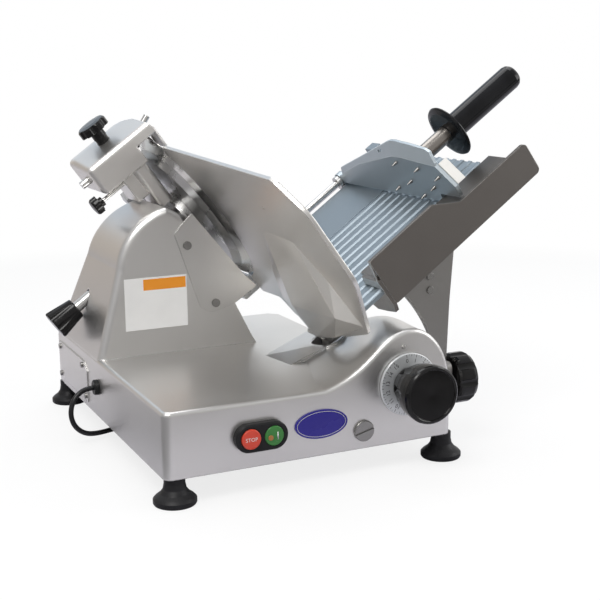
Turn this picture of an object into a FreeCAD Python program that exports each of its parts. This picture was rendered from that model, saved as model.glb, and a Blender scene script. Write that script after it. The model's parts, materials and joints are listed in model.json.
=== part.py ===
import FreeCAD, Part
import os, math

os.makedirs("parts", exist_ok=True)
V = FreeCAD.Vector

# ----------------------------------------------------------------------------
# Gravity-feed food slicer, compact class. Millimetres, +Z up, the operator
# stands on the -Y side. Geometry is laid out in a bench frame whose zero is
# the sharp front left corner of the base at floor level, and every finished
# solid is then shifted by (-ORG_X, -ORG_Y) so that the origin is the bottom
# centre of the whole machine.
# Inclined pieces are laid out flat in (n, y, s): n is the normal of the knife
# plane, s runs up the slope, and the group is turned about Y by TILT.
# ----------------------------------------------------------------------------
ORG_X = 228.5
ORG_Y = 202.6
TILT = 36.0              # knife and table inclination
BASE_W = 334.0           # base along X
BASE_D = 431.0           # base along Y
BASE_Z = 29.0            # underside of the casting, on its feet
DECK_Z = 99.0            # receiving deck
WALL = 5.0
KNIFE_R = 110.0          # 220 mm knife
KNIFE_Y = 330.0          # knife axis in the inclined frame
KNIFE_S = 115.0
GUARD_R = 135.0           # outer radius of the ring guard
GAUGE_N = 282.0          # face of the gauge plate, n
GAUGE_TRAVEL = 14.0
DIAL_X, DIAL_Z = 277.0, 93.7
DIAL_TURN = math.radians(330.0)
COLLAR_X, COLLAR_Y, COLLAR_Z, COLLAR_R = 258.0, 152.0, 115.4, 20.0   # round opening for the gauge arm
RAIL_X, RAIL_Z, RAIL_R = 300.0, 54.0, 9.0
CARRIAGE_TRAVEL = 235.0
TRAY_N0, TRAY_N1 = 286.0, 540.0
WALL_Y = 30.0             # outer face of the table fence
TRAY_Y0, TRAY_Y1 = 35.1, 335.0
PUSH_ROD_Y, PUSH_ROD_S, PUSH_ROD_R = 343.0, 5.0, 5.0
FOOT_R = 22.5
FEET = ((14, 14), (328, 12), (9, 419), (320, 417))
CORD_D = 6.0
GLAND_Y, GLAND_Z = 239.0, 66.0

ca, sa = math.cos(math.radians(TILT)), math.sin(math.radians(TILT))


def S(n, y, s):
    """Point of the inclined frame in the bench frame."""
    return V(n * ca - s * sa, y, n * sa + s * ca)


def tilt(shape):
    shape = shape.copy()
    shape.rotate(V(0, 0, 0), V(0, 1, 0), -TILT)
    return shape


def box(x0, y0, z0, x1, y1, z1):
    return Part.makeBox(x1 - x0, y1 - y0, z1 - z0, V(x0, y0, z0))


def cyl(r, p, d, h):
    return Part.makeCylinder(r, h, V(*p), V(*d))


def ring(ro, ri, p, d, h):
    d = V(*d)
    d.normalize()
    p = V(*p)
    return Part.makeCylinder(ro, h, p, d).cut(Part.makeCylinder(ri, h + 2, p - d, d))


def poly(points):
    pts = [V(*p) for p in points]
    return Part.Face(Part.makePolygon(pts + [pts[0]]))


def prism(points, vec):
    return poly(points).extrude(V(*vec))


def revolve(profile, centre, axis, ref):
    """Solid of revolution: profile is (radius, distance along axis)."""
    axis = V(*axis); axis.normalize()
    ref = V(*ref); ref.normalize()
    c = V(*centre)
    pts = [c + ref * r + axis * h for r, h in profile]
    f = Part.Face(Part.makePolygon(pts + [pts[0]]))
    return f.revolve(c, axis, 360)


def fuse(*shapes):
    out = shapes[0]
    for s in shapes[1:]:
        out = out.fuse(s)
    return out.removeSplitter()


def hull(points):
    """Smallest convex solid round the points."""
    P = [V(*p) for p in points]
    mid = V(0, 0, 0)
    for p in P:
        mid = mid + p * (1.0 / len(P))
    faces, seen = [], set()
    for i in range(len(P)):
        for j in range(i + 1, len(P)):
            for k in range(j + 1, len(P)):
                n = (P[j] - P[i]).cross(P[k] - P[i])
                if n.Length < 1e-6:
                    continue
                n.normalize()
                if n.dot(mid - P[i]) > 0:
                    n = n * -1
                side = [n.dot(p - P[i]) for p in P]
                if max(side) > 1e-6:
                    continue
                on = tuple(q for q, d in enumerate(side) if d > -1e-6)
                if on in seen:
                    continue
                seen.add(on)
                c = V(0, 0, 0)
                for q in on:
                    c = c + P[q] * (1.0 / len(on))
                u = P[on[0]] - c
                u.normalize()
                w = n.cross(u)
                ordered = sorted((math.atan2((P[q] - c).dot(w), (P[q] - c).dot(u)), q) for q in on)
                loop = [P[q] for _, q in ordered]
                faces.append(Part.Face(Part.makePolygon(loop + [loop[0]])))
    return Part.Solid(Part.Shell(faces))


def fillet_where(shape, r, test):
    """Round the edges whose midpoint and direction pass the test."""
    edges = []
    for e in shape.Edges:
        try:
            mid = e.valueAt((e.FirstParameter + e.LastParameter) / 2)
            tan = e.tangentAt((e.FirstParameter + e.LastParameter) / 2)
        except Exception:
            continue
        if test(mid, tan, e):
            edges.append(e)
    if not edges:
        return shape
    return shape.makeFillet(r, edges)


def along(t, axis, tol=0.03):
    return abs(abs(t.dot(V(*axis))) - 1) < tol


def rbox(x0, y0, z0, x1, y1, z1, r, axis):
    """Box with the four edges along one axis rounded."""
    b = box(x0, y0, z0, x1, y1, z1)
    return fillet_where(b, r, lambda m, t, e: along(t, axis))


def outline(points):
    """Closed wire through 3-D corners (x, y, z, radius) with tangent arcs."""
    P = [V(*p[:3]) for p in points]
    R = [p[3] if len(p) > 3 else 0.0 for p in points]
    m = len(P)
    ins, outs, mids = [None] * m, [None] * m, [None] * m
    for i in range(m):
        a, b = P[i - 1] - P[i], P[(i + 1) % m] - P[i]
        if R[i] <= 0:
            ins[i] = outs[i] = P[i]
            continue
        ua, ub = a * (1 / a.Length), b * (1 / b.Length)
        half = math.acos(max(-1, min(1, ua.dot(ub)))) / 2
        t = min(R[i] / math.tan(half), 0.48 * a.Length, 0.48 * b.Length)
        r = t * math.tan(half)
        ins[i], outs[i] = P[i] + ua * t, P[i] + ub * t
        bis = ua + ub
        bis.normalize()
        mids[i] = P[i] + bis * (r / math.sin(half) - r)
    edges = []
    for i in range(m):
        if mids[i] is not None:
            edges.append(Part.Arc(ins[i], mids[i], outs[i]).toShape())
        j = (i + 1) % m
        if (ins[j] - outs[i]).Length > 1e-6:
            edges.append(Part.LineSegment(outs[i], ins[j]).toShape())
    return Part.Wire(edges)


def slab(points, vec):
    return Part.Face(outline(points)).extrude(V(*vec))


NODES = {}


def keep(name, shape):
    shape = shape.copy()
    shape.translate(V(-ORG_X, -ORG_Y, 0))
    solids = shape.Solids
    if not solids:
        raise RuntimeError(name + " has no solid")
    shape = solids[0] if len(solids) == 1 else Part.makeCompound(solids)
    if not shape.isValid():
        raise RuntimeError(name + " is not valid")
    NODES[name] = shape


def lobed(r, lobes, depth, h, centre, axis, ref, bore=0.0, dome=0.0):
    """Star grip: a disc with scallops round its rim."""
    axis = V(*axis); axis.normalize()
    ref = V(*ref); ref.normalize()
    third = axis.cross(ref)
    c = V(*centre)
    if dome:
        prof = [(0.001, 0), (r, 0), (r, h - dome), (r - dome * 0.6, h - dome * 0.25), (r * 0.45, h), (0.001, h)]
        body = revolve(prof, tuple(c), tuple(axis), tuple(ref))
    else:
        body = Part.makeCylinder(r, h, c, axis)
    for i in range(lobes):
        a = 2 * math.pi * i / lobes
        q = c + (ref * math.cos(a) + third * math.sin(a)) * (r + depth * 1.1) - axis
        body = body.cut(Part.makeCylinder(depth * 2.1, h + 2, q, axis))
    if bore:
        body = body.cut(Part.makeCylinder(bore, h + 2, c - axis, axis))
    return body


# ----------------------------------------------------------------------------
# Base: one casting with the receiving deck, the motor tower and the hump that
# carries the thickness dial. Open underneath.
# ----------------------------------------------------------------------------
skirt = box(0, 0, BASE_Z, BASE_W, BASE_D, 74)
skirt = fillet_where(skirt, 9.0, lambda m, t, e: along(t, (0, 0, 1)))
deck = prism([(0, 0, 60), (BASE_W, 0, 60), (BASE_W, 236, 60), (292, 272, 60), (292, 366, 60),
              (279, 379, 60), (222, 379, 60), (214, 431, 60), (0, 431, 60)], (0, 0, DECK_Z - 60))
deck = fillet_where(deck, 9.0, lambda m, t, e: along(t, (0, 0, 1)) and (m.y < 1 or m.y > 430) and (m.x < 1 or m.x > 333))
deck = fillet_where(deck, 4.5, lambda m, t, e: m.z > DECK_Z - 0.1)


def hump_section(y, x0, xm, xc, x1, top, z_low=84.0, off=0.0):
    """Cross-section of the hump at one depth: foot x0, half height xm, crest xc, outer side x1,
    drawn in by off."""
    foot = 96.5
    h = top - foot
    pts = [(x0, 0.0), (x0 + 0.35 * (xm - x0), 0.055), (x0 + 0.70 * (xm - x0), 0.235), (xm, 0.50),
           (xm + 0.36 * (xc - xm), 0.775), (xm + 0.69 * (xc - xm), 0.945), (xc, 1.0),
           (xc + 0.34 * (x1 - xc), 0.935), (xc + 0.61 * (x1 - xc), 0.76), (xc + 0.82 * (x1 - xc), 0.50),
           (xc + 0.945 * (x1 - xc), 0.215), (x1, -0.09)]
    pts = [V(x, y, foot + h * v) for x, v in pts]
    if off:
        q = []
        for i in range(len(pts)):
            t = pts[min(i + 1, len(pts) - 1)] - pts[max(i - 1, 0)]
            t.normalize()
            q.append(V(pts[i].x + t.z * off, y, pts[i].z - t.x * off))
        pts = q
    c = Part.BSplineCurve()
    c.interpolate(pts)
    e = c.toShape()
    p0, p1 = pts[0], pts[-1]
    a, b = V(p0.x, y, z_low), V(p1.x, y, z_low)
    return Part.Wire([e, Part.LineSegment(p1, b).toShape(), Part.LineSegment(b, a).toShape(),
                      Part.LineSegment(a, p0).toShape()])


HUMP0 = (154, 229, 281, 331.5, 153.5)
NOSE = 5.0               # rounding of the hump's front edge
nose = []
for k in range(8):
    g = math.radians(90.0 * k / 7)
    nose.append(hump_section(NOSE * (1 - math.cos(g)) if k < 7 else NOSE, *HUMP0, off=NOSE * (1 - math.sin(g))))
nose = Part.makeLoft(nose, True, True)
hump = Part.makeLoft([hump_section(NOSE, *HUMP0), hump_section(58, 164, 249, 288, 331.5, 153.0),
                      hump_section(96, 176, 264, 295, 331.3, 148.0), hump_section(128, 184, 268, 298, 331.0, 139.0),
                      hump_section(180, 192, 267, 300, 330.5, 121.0), hump_section(236, 226, 273, 302, 329.0, 105.0)], True, False)

TOWER_Y0, TOWER_Y1 = 232.0, 427.0


def tower_wire(y, off):
    """Outer (off 0) or inner (off 5) outline of the tower."""
    o = off
    p = [V(0.6 + o, y, 60), V(0.6 + o, y, 98), V(28 + o, y, 203)]
    arc_mid, arc_end = V(47 + o * 0.70, y, 246.5 - o * 0.7), V(90, y, 271.5 - o)
    q = [V(103 - o * 0.35, y, 265.0 - o), V(172 - o, y, 151), V(182 - o, y, 131), V(191 - o, y, 113), V(204 - o, y, 90), V(204 - o, y, 60)]
    edges = [Part.LineSegment(p[0], p[1]).toShape(), Part.LineSegment(p[1], p[2]).toShape(),
             Part.Arc(p[2], arc_mid, arc_end).toShape(), Part.LineSegment(arc_end, q[0]).toShape()]
    for a, b in zip(q, q[1:]):
        edges.append(Part.LineSegment(a, b).toShape())
    edges.append(Part.LineSegment(q[-1], p[0]).toShape())
    return Part.Wire(edges)


tower = Part.Face(tower_wire(TOWER_Y0, 0)).extrude(V(0, TOWER_Y1 - TOWER_Y0, 0))
BACK_LEAN = 0.5          # the back of the tower leans forward above BACK_Z
BACK_Z = 112.0


def behind(off):
    """Wedge behind the leaning back face, moved forward by off."""
    y0 = TOWER_Y1 + 1 - off
    return prism([(-20, y0, BACK_Z), (-20, y0 - BACK_LEAN * 200, BACK_Z + 200), (-20, 520, BACK_Z + 200), (-20, 520, BACK_Z)], (300, 0, 0))


tower = tower.cut(behind(0)).removeSplitter()
tower = fillet_where(tower, 9.0, lambda m, t, e: m.y < TOWER_Y0 + 1 and m.x < 120 and m.z > 110)


def on_back(m):
    return m.z > BACK_Z + 4 and abs(m.y - (TOWER_Y1 + 1 - BACK_LEAN * (m.z - BACK_Z))) < 0.6


for rr in (22.0, 18.0, 12.0):
    try:
        tower = fillet_where(tower, rr, lambda m, t, e: on_back(m) and m.x < 104)
        print("tower back rounded", rr)
        break
    except Exception as ex:
        print("tower back", rr, ex)

# low shoulder of the hump, running out to a point on the deck behind the opening
shoulder = hull([(181, 165, 98.8), (187, 112, 98.4), (234, 203, 104.6), (234, 203, 95), (187, 112, 95), (181, 165, 95), (271, 220, 110.6), (271, 220, 95),
                 (262, 138, 113.6), (262, 138, 95), (286, 205, 110.0), (286, 205, 95)])
casting = skirt.fuse(deck).fuse(hump).fuse(nose).fuse(shoulder).fuse(tower).removeSplitter()
# hollow inside
hollow = box(WALL, WALL, BASE_Z - 1, BASE_W - WALL, BASE_D - WALL, 70)
hollow = hollow.fuse(box(WALL, WALL, 60, 286, 372, DECK_Z - WALL))
hollow = hollow.fuse(box(180, WALL, 60, BASE_W - WALL, 228, DECK_Z - WALL))
hollow = hollow.fuse(Part.Face(tower_wire(TOWER_Y0 + WALL, WALL)).extrude(V(0, TOWER_Y1 - TOWER_Y0 - 2 * WALL, 0)).cut(behind(8.0)))
hollow = hollow.fuse(box(WALL, 238, 60, 199, BASE_D - WALL - 4, 92))
hollow = hollow.fuse(cyl(31.0, (DIAL_X, 50, DIAL_Z), (0, 1, 0), 30)).fuse(box(262, WALL, 90, 300, 52, 121))
casting = casting.cut(hollow)

# openings in the casting
cuts = []
for bx in (89.0, 115.0):
    cuts.append(cyl(12.4, (bx, -1, 62.3), (0, 1, 0), 8))
cuts.append(cyl(6.05, (DIAL_X, -1, DIAL_Z), (0, 1, 0), 8))
cuts.append(cyl(9.2, (223, -1, 49), (0, 1, 0), 8))
cuts.append(cyl(2.02, (272.3, -3, 134.9), (0, 1, 0), 6.02))                     # index pin
cuts.append(cyl(7.6, (-1, GLAND_Y, GLAND_Z), (1, 0, 0), 8))
cuts.append(box(BASE_W - 6, 24, 45, BASE_W + 1, 320, 63))                      # carriage slot in the right wall
cuts.append(cyl(COLLAR_R, (COLLAR_X, COLLAR_Y, 80), (0, 0, 1), 70))                # gauge arm passes the deck here
cuts.append(Part.makeCylinder(8.0, 60, S(78, KNIFE_Y, KNIFE_S), V(ca, 0, sa)))  # cover tie rod, left wall
cuts.append(Part.makeCylinder(30.0, 70, S(196, KNIFE_Y, KNIFE_S), V(ca, 0, sa)))  # knife bearing seat
cuts.append(Part.makeCylinder(45.6, 15.5, S(174.5, KNIFE_Y, KNIFE_S), V(ca, 0, sa)))  # room for the belt round the knife pulley
for c in cuts:
    casting = casting.cut(c)
# rail seats: the end walls carry the carriage rail
rail_seats = fuse(box(284, 4, 34, 316, 12, 72), box(284, 419, 34, 316, 427, 68))
casting = casting.fuse(rail_seats)
casting = casting.cut(cyl(RAIL_R, (RAIL_X, 2, RAIL_Z), (0, 1, 0), 427))
# bosses for the feet
for fx, fy in FEET:
    bx0, bx1 = (3, 26) if fx < 100 else (308, 331)
    by0, by1 = (3, 26) if fy < 100 else (405, 428)
    casting = casting.fuse(box(bx0, by0, BASE_Z, bx1, by1, 44 if fx > 100 else 58))
    casting = casting.cut(cyl(4.0, (fx, fy, BASE_Z - 1), (0, 0, 1), 13))

# knife bearing housing, cast in through the tower wall
housing = ring(34.0, 26.0, tuple(S(198, KNIFE_Y, KNIFE_S)), (ca, 0, sa), 38)
housing = housing.fuse(ring(26.5, 22.0, tuple(S(210, KNIFE_Y, KNIFE_S)), (ca, 0, sa), 8)).removeSplitter()
casting = casting.fuse(housing).removeSplitter()
# raised rim where the gauge arm passes through, leaning with the flank of the hump
rim = ring(COLLAR_R + 3.6, COLLAR_R, (COLLAR_X, COLLAR_Y, 92.0), (0, 0, 1), 45)
rim = rim.cut(prism([(COLLAR_X - 60, 100, COLLAR_Z - 60 * 0.48), (COLLAR_X + 60, 100, COLLAR_Z + 60 * 0.48), (COLLAR_X + 60, 100, 200), (COLLAR_X - 60, 100, 200)], (0, 110, 0)))
casting = casting.fuse(rim).removeSplitter()
keep("base_casting", casting)

# underside cover with its screws
cover = box(27, 27, 29.6, BASE_W - 27, BASE_D - 27, 31.4)
cover = cover.fuse(box(7, 40, 29.6, BASE_W - 7, BASE_D - 40, 31.4)).fuse(box(40, 7, 29.6, BASE_W - 40, BASE_D - 7, 31.4)).removeSplitter()
keep("bottom_cover", cover)
scr = []
for sx, sy in ((60, 12), (BASE_W - 60, 12), (60, BASE_D - 12), (BASE_W - 60, BASE_D - 12), (12, 215), (BASE_W - 12, 340)):
    scr.append(cyl(4.2, (sx, sy, 27.2), (0, 0, 1), 2.4))

# feet and their studs
feet = []
for fx, fy in FEET:
    f = revolve([(0.001, 3), (FOOT_R - 3.4, 3), (FOOT_R - 3, 0), (FOOT_R - 1, 0), (FOOT_R, 1.5), (FOOT_R, 5.5), (20.2, 8.0), (15.5, 11.5),
                 (12.2, 16.0), (11.0, 22.0), (11.0, 28.98), (3.97, 28.98), (3.97, 41.0), (0.001, 41.0)], (fx, fy, 0), (0, 0, 1), (1, 0, 0))
    feet.append(f)
keep("rubber_feet", Part.makeCompound(feet))

# side access panel and its screws
panel = box(-1.4, 283, 36, 0.0, 418, 84)
panel = panel.cut(prism([(-2, 283, 84), (-2, 283, 74), (-2, 293, 84)], (3, 0, 0)))
keep("side_panel", panel)
for y, z in ((291, 42), (410, 42), (410, 78), (303, 78)):
    scr.append(cyl(3.4, (-3.4, y, z), (1, 0, 0), 2.0))
keep("cover_screws", Part.makeCompound(scr))

# ----------------------------------------------------------------------------
# Front panel
# ----------------------------------------------------------------------------
bx, bz = 102.0, 62.3


def pill(y0, y1, half_l, r):
    a = cyl(r, (bx - half_l, y0, bz), (0, 1, 0), y1 - y0)
    b = cyl(r, (bx + half_l, y0, bz), (0, 1, 0), y1 - y0)
    c = box(bx - half_l, y0, bz - r, bx + half_l, y1, bz + r)
    return a.fuse(b).fuse(c).removeSplitter()


sw = pill(-9.0, 0.0, 14.0, 15.0)
sw = fillet_where(sw, 2.2, lambda m, t, e: m.y < -8.9)
for x in (89.0, 115.0):
    sw = sw.cut(cyl(11.0, (x, -10, bz), (0, 1, 0), 7.5))
    sw = sw.cut(cyl(8.0, (x, -3, bz), (0, 1, 0), 4))
keep("switch_housing", sw)
for name, x, y0 in (("stop_button", 89.0, -11.0), ("start_button", 115.0, -9.6)):
    b = cyl(10.6, (x, y0, bz), (0, 1, 0), -6.6 - y0)
    b = fillet_where(b, 1.2, lambda m, t, e: m.y < y0 + 0.1)
    b = b.fuse(cyl(7.6, (x, -7.0, bz), (0, 1, 0), 9.0)).removeSplitter()
    keep(name, b)
keep("start_lamp", cyl(2.8, (110.5, -10.4, bz - 1.5), (0, 1, 0), 0.8))

plug = cyl(9.0, (223, -1.0, 49), (0, 1, 0), 7.0).fuse(cyl(11.6, (223, -3.2, 49), (0, 1, 0), 3.2)).removeSplitter()
plug = fillet_where(plug, 0.9, lambda m, t, e: m.y < -3.1)
slot = box(-12, -5, -1.1, 12, -1.6, 1.1)
slot.rotate(V(0, 0, 0), V(0, 1, 0), -14)
slot.translate(V(223, 0, 49))
keep("plug_screw", plug.cut(slot))

e = Part.Ellipse(V(172.4, 0, 64), 30.5, 15.5)
ell = e.toShape()
ell.rotate(V(172.4, 0, 64), V(1, 0, 0), 90)
badge = Part.Face(Part.Wire(ell)).extrude(V(0, -1.6, 0))
keep("oval_badge", badge)

lab = box(34.6, TOWER_Y0 - 0.4, 130, 111, TOWER_Y0, 191.5)
keep("front_label", lab)
keep("index_mark", fuse(cyl(2.0, (272.3, -2.0, 134.9), (0, 1, 0), 5.0)))

# ----------------------------------------------------------------------------
# Thickness control
# ----------------------------------------------------------------------------
dial = ring(34.5, 6.05, (DIAL_X, -4.2, DIAL_Z), (0, 1, 0), 3.4)
dial = fillet_where(dial, 0.9, lambda m, t, e: m.y < -4.1 and e.Length > 200)
keep("dial_ring", dial)
kn = revolve([(6.03, -4.6), (20.2, -4.6), (21.2, -6.6), (24.6, -15.0), (28.2, -24.0), (30.4, -34.0), (31.4, -42.0), (31.7, -48.0), (31.0, -50.6),
              (29.6, -52.0), (28.2, -52.2), (27.3, -51.4), (26.9, -50.2), (0.001, -49.6), (0.001, -44.02), (6.03, -44.02)], (DIAL_X, 0, DIAL_Z), (0, 1, 0), (1, 0, 0))
# finger scoops round the knob, dying out towards the rim
for i in range(7):
    a = 2 * math.pi * i / 7 + 0.42
    q0 = V(DIAL_X + 29.5 * math.cos(a), -8.0, DIAL_Z + 29.5 * math.sin(a))
    q1 = V(DIAL_X + 38.5 * math.cos(a), -36.0, DIAL_Z + 38.5 * math.sin(a))
    d = q1 - q0
    kn = kn.cut(Part.makeCylinder(8.6, d.Length, q0, d))
keep("index_knob", kn)
shaft = cyl(6.0, (DIAL_X, -44.0, DIAL_Z), (0, 1, 0), 122)

# snail cam on the shaft: its radius grows by the gauge travel over the dial's turn
K = GAUGE_TRAVEL / DIAL_TURN
R0 = 14.0
pts = []
phi0 = math.atan2(-sa, -ca)              # direction of the follower, -n
N = 66
lo, hi = math.radians(-17), DIAL_TURN + math.radians(9)
for i in range(N + 1):
    th = lo + (hi - lo) * i / N
    r = R0 + K * th
    # the dial turns about -Y seen from the front; the point now at the follower
    # is carried round by th, so at rest it lies at phi0 - th (sense of the dial)
    ang = phi0 - th
    pts.append((DIAL_X + r * math.cos(ang), 64.0, DIAL_Z + r * math.sin(ang)))
cam = prism(pts, (0, 8, 0))
cam = cam.fuse(cyl(10.0, (DIAL_X, 58.0, DIAL_Z), (0, 1, 0), 6.5)).fuse(shaft).removeSplitter()
keep("cam_shaft", cam)

# gauge plate, flat face towards the food at n = GAUGE_N
gp = [(262, 218, 4), (-28, 200, 14), (-60, 160, 30), (-58, 72, 40), (6, -13, 9), (90, -41, 40), (165, -49, 40), (218, -40, 14), (231, -13, 8), (289, -16, 5), (296, 14, 3), (290, 60, 3)]
plate = slab([(GAUGE_N - 5, y, s, r) for y, s, r in gp], (5, 0, 0))
plate = plate.cut(cyl(113.0, (GAUGE_N - 40, KNIFE_Y, KNIFE_S), (1, 0, 0), 80))
try:
    plate = fillet_where(plate, 1.4, lambda m, t, e: m.x > GAUGE_N - 0.1 and m.y < 236)
except Exception as ex:
    print("gauge edge kept sharp")
# tapered bracket on the back, widest where the gauge arm leaves it
GB = GAUGE_N - 4.0
bracket = hull([(GB, 36, 117), (GB, 108, 121), (GB, 186, 40), (GB, 226, -12), (GB, 218, -38), (GB, 160, -47.5), (GB, 92, -38), (GB, 4, -3), (GB, 14, 62),
                (GB - 3, 52, 100), (GB - 14, 30, 15), (GB - 15, 148, 6), (GB - 15, 146, -44), (GB - 13, 84, -30)])
try:
    bracket = fillet_where(bracket, 2.0, lambda m, t, e: m.x < GB - 4.5)
except Exception as ex:
    print("bracket edges kept sharp")
plate = plate.fuse(bracket)
plate = plate.cut(cyl(113.0, (GAUGE_N - 40, KNIFE_Y, KNIFE_S), (1, 0, 0), 80)).removeSplitter()
keep("gauge_plate", tilt(plate))

# gauge arm: pad on the plate, leg down through the deck, slide rod in its guide
pad = tilt(rbox(264.6, 134, -47.6, GAUGE_N - 5, 170, -41.0, 3, (0, 1, 0)))
leg = prism([(250.4, 143, 126), (259.0, 143, 120), (268, 143, 106), (268, 143, 62), (254, 143, 62), (254, 143, 112)], (0, 18, 0))
leg = leg.fuse(prism([(254, 143, 89), (268, 143, 89), (268, 143, 62), (254, 143, 62)], (0, 43, 0)))
leg = leg.cut(tilt(box(GAUGE_N - 5, 100, -80, GAUGE_N + 20, 300, 0)))
follower = (DIAL_X - ca * (R0 + 4.5), 60.0, DIAL_Z - sa * (R0 + 4.5))
arm = pad.fuse(leg).removeSplitter().cut(tilt(plate)).cut(tilt(cyl(8.03, (206.9, 174, -92), (1, 0, 0), 48.13)))
keep("gauge_arm", arm.fuse(cyl(4.0, follower, (0, 1, 0), 104)).removeSplitter())
keep("gauge_slide_rod", tilt(cyl(8.0, (207, 174, -92), (1, 0, 0), 48)))
guide = tilt(box(200, 158, -108, 226, 190, -76)).fuse(box(206, 160, 46, 224, 188, 94)).removeSplitter()
guide = guide.cut(tilt(cyl(8.05, (150, 174, -92), (1, 0, 0), 120))).cut(box(100, 100, 0, 300, 300, 33))
keep("gauge_guide", guide)

# ----------------------------------------------------------------------------
# Knife, hub and drive
# ----------------------------------------------------------------------------
A = (ca, 0, sa)
B = (0, 1, 0)
c0 = (0, KNIFE_Y, 0)


def rev_n(profile):
    """Revolve (radius, n) about the knife axis, in the inclined frame, then tilt."""
    prof = [(r, h) for r, h in profile]
    return tilt(revolve(prof, (0, KNIFE_Y, KNIFE_S), (1, 0, 0), (0, 1, 0)))


knife = rev_n([(18.0, 267.0), (86.0, 267.0), (94.0, 273.4), (110.0, 281.2), (110.0, 281.8), (101.0, 280.6), (92.0, 277.2), (84.0, 271.6), (18.0, 271.6)])
keep("knife", knife)
hub = rev_n([(6.6, 172.0), (17.0, 172.0), (17.0, 176.0), (40.0, 176.0), (42.0, 177.0), (40.5, 179.0), (40.5, 185.0), (42.0, 187.0),
             (40.0, 188.0), (17.0, 188.0), (17.0, 256.0), (33.0, 256.0), (33.0, 266.9), (17.9, 266.9), (17.9, 270.6), (6.6, 270.6)])
keep("knife_hub", hub)
keep("hub_bearings", Part.makeCompound([rev_n([(17.05, n0), (26.0, n0), (26.0, n0 + 11.5), (17.05, n0 + 11.5)]) for n0 in (198.2, 218.4)]))
cover_disc = rev_n([(5.05, 274.0), (14.0, 274.0), (14.0, 277.0), (70.0, 277.0), (78.0, 278.6), (84.0, 280.2), (84.0, 281.4), (70.0, 281.6), (5.05, 281.6)])
keep("knife_cover", cover_disc)
tie = tilt(fuse(cyl(5.0, (62, KNIFE_Y, KNIFE_S), (1, 0, 0), 218.5), cyl(6.8, (86.2, KNIFE_Y, KNIFE_S), (1, 0, 0), 24.0)))
keep("cover_tie_rod", tie)
ck = revolve([(5.03, 86.0), (12.6, 86.0), (13.4, 84.6), (14.6, 76.0), (18.3, 54.0), (17.6, 52.2), (15.5, 51.6), (0.001, 51.6), (0.001, 61.98), (5.03, 61.98)],
             (0, KNIFE_Y, KNIFE_S), (1, 0, 0), (0, 1, 0))
for i in range(8):
    a = 2 * math.pi * i / 8
    p = V(50, KNIFE_Y + 20.6 * math.cos(a), KNIFE_S + 20.6 * math.sin(a))
    q = V(90, KNIFE_Y + 17.2 * math.cos(a), KNIFE_S + 17.2 * math.sin(a))
    d = q - p
    ck = ck.cut(Part.makeCylinder(4.2, d.Length, p, d))
keep("cover_knob", tilt(ck))

MOT_S = 32.0
motor = tilt(fuse(cyl(36.0, (80, KNIFE_Y, MOT_S), (1, 0, 0), 78), cyl(26.0, (76, KNIFE_Y, MOT_S), (1, 0, 0), 87), box(158, 290, -8, 168, 370, 66)))
motor = motor.fuse(box(66, 300, 31.4, 116, 360, 62)).cut(tilt(cyl(6.05, (70, KNIFE_Y, MOT_S), (1, 0, 0), 110))).common(box(0, 0, 31.4, 400, 500, 400))
keep("motor_body", motor)
keep("motor_rotor", tilt(revolve([(0.001, 78.0), (6.0, 78.0), (6.0, 176.0), (13.0, 176.0), (15.0, 177.0), (13.5, 179.0), (13.5, 185.0), (15.0, 187.0),
                                  (13.0, 188.0), (6.0, 188.0), (6.0, 190.0), (0.001, 190.0)], (0, KNIFE_Y, MOT_S), (1, 0, 0), (0, 1, 0))))

def belt_face(r1, r2, n0, n1):
    """Open belt round both pulleys: outer hull of two circles."""
    d = KNIFE_S - MOT_S
    al = math.asin((r1 - r2) / d)        # r1 at the knife pulley
    pts = []
    for k in range(25):
        a = -al + (math.pi + 2 * al) * k / 24
        pts.append((n0, KNIFE_Y + r1 * math.cos(a), KNIFE_S + r1 * math.sin(a)))
    for k in range(17):
        a = math.pi + al + (math.pi - 2 * al) * k / 16
        pts.append((n0, KNIFE_Y + r2 * math.cos(a), MOT_S + r2 * math.sin(a)))
    return prism(pts, (n1 - n0, 0, 0))


belt = belt_face(43.6, 16.6, 179.4, 184.6).cut(belt_face(40.9, 13.9, 178, 186))
keep("drive_belt", tilt(belt))

# ring guard round the part of the knife that doesn't cut
outer = cyl(GUARD_R, (256, KNIFE_Y, KNIFE_S), (1, 0, 0), 25.6)
inner = cyl(113.0, (250, KNIFE_Y, KNIFE_S), (1, 0, 0), 40)
rg = outer.cut(inner)
a0, a1 = math.radians(-100), math.radians(50)
wedge = [(0, KNIFE_Y, KNIFE_S)]
for k in range(13):
    a = a0 + (a1 - a0) * k / 12
    wedge.append((0, KNIFE_Y + 200 * math.cos(a), KNIFE_S + 200 * math.sin(a)))
sector = prism([(240, y, s) for _, y, s in wedge], (60, 0, 0))
rg = rg.common(sector)
rg = fillet_where(rg, 3.0, lambda m, t, e: e.Length > 250 and abs(V(0, m.y - KNIFE_Y, m.z - KNIFE_S).Length - GUARD_R) < 0.3)
for deg in (-52, 0, 38):
    a = math.radians(deg)
    bar = box(246, 70, -7, 257.5, 120, 7).fuse(box(226, 70, -7, 257.5, 84, 7))
    bar.rotate(V(0, 0, 0), V(1, 0, 0), deg)
    bar.translate(V(0, KNIFE_Y, KNIFE_S))
    rg = rg.fuse(bar)
rg = rg.removeSplitter()
rg = tilt(rg).cut(tower)
keep("ring_guard", rg)

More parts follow.
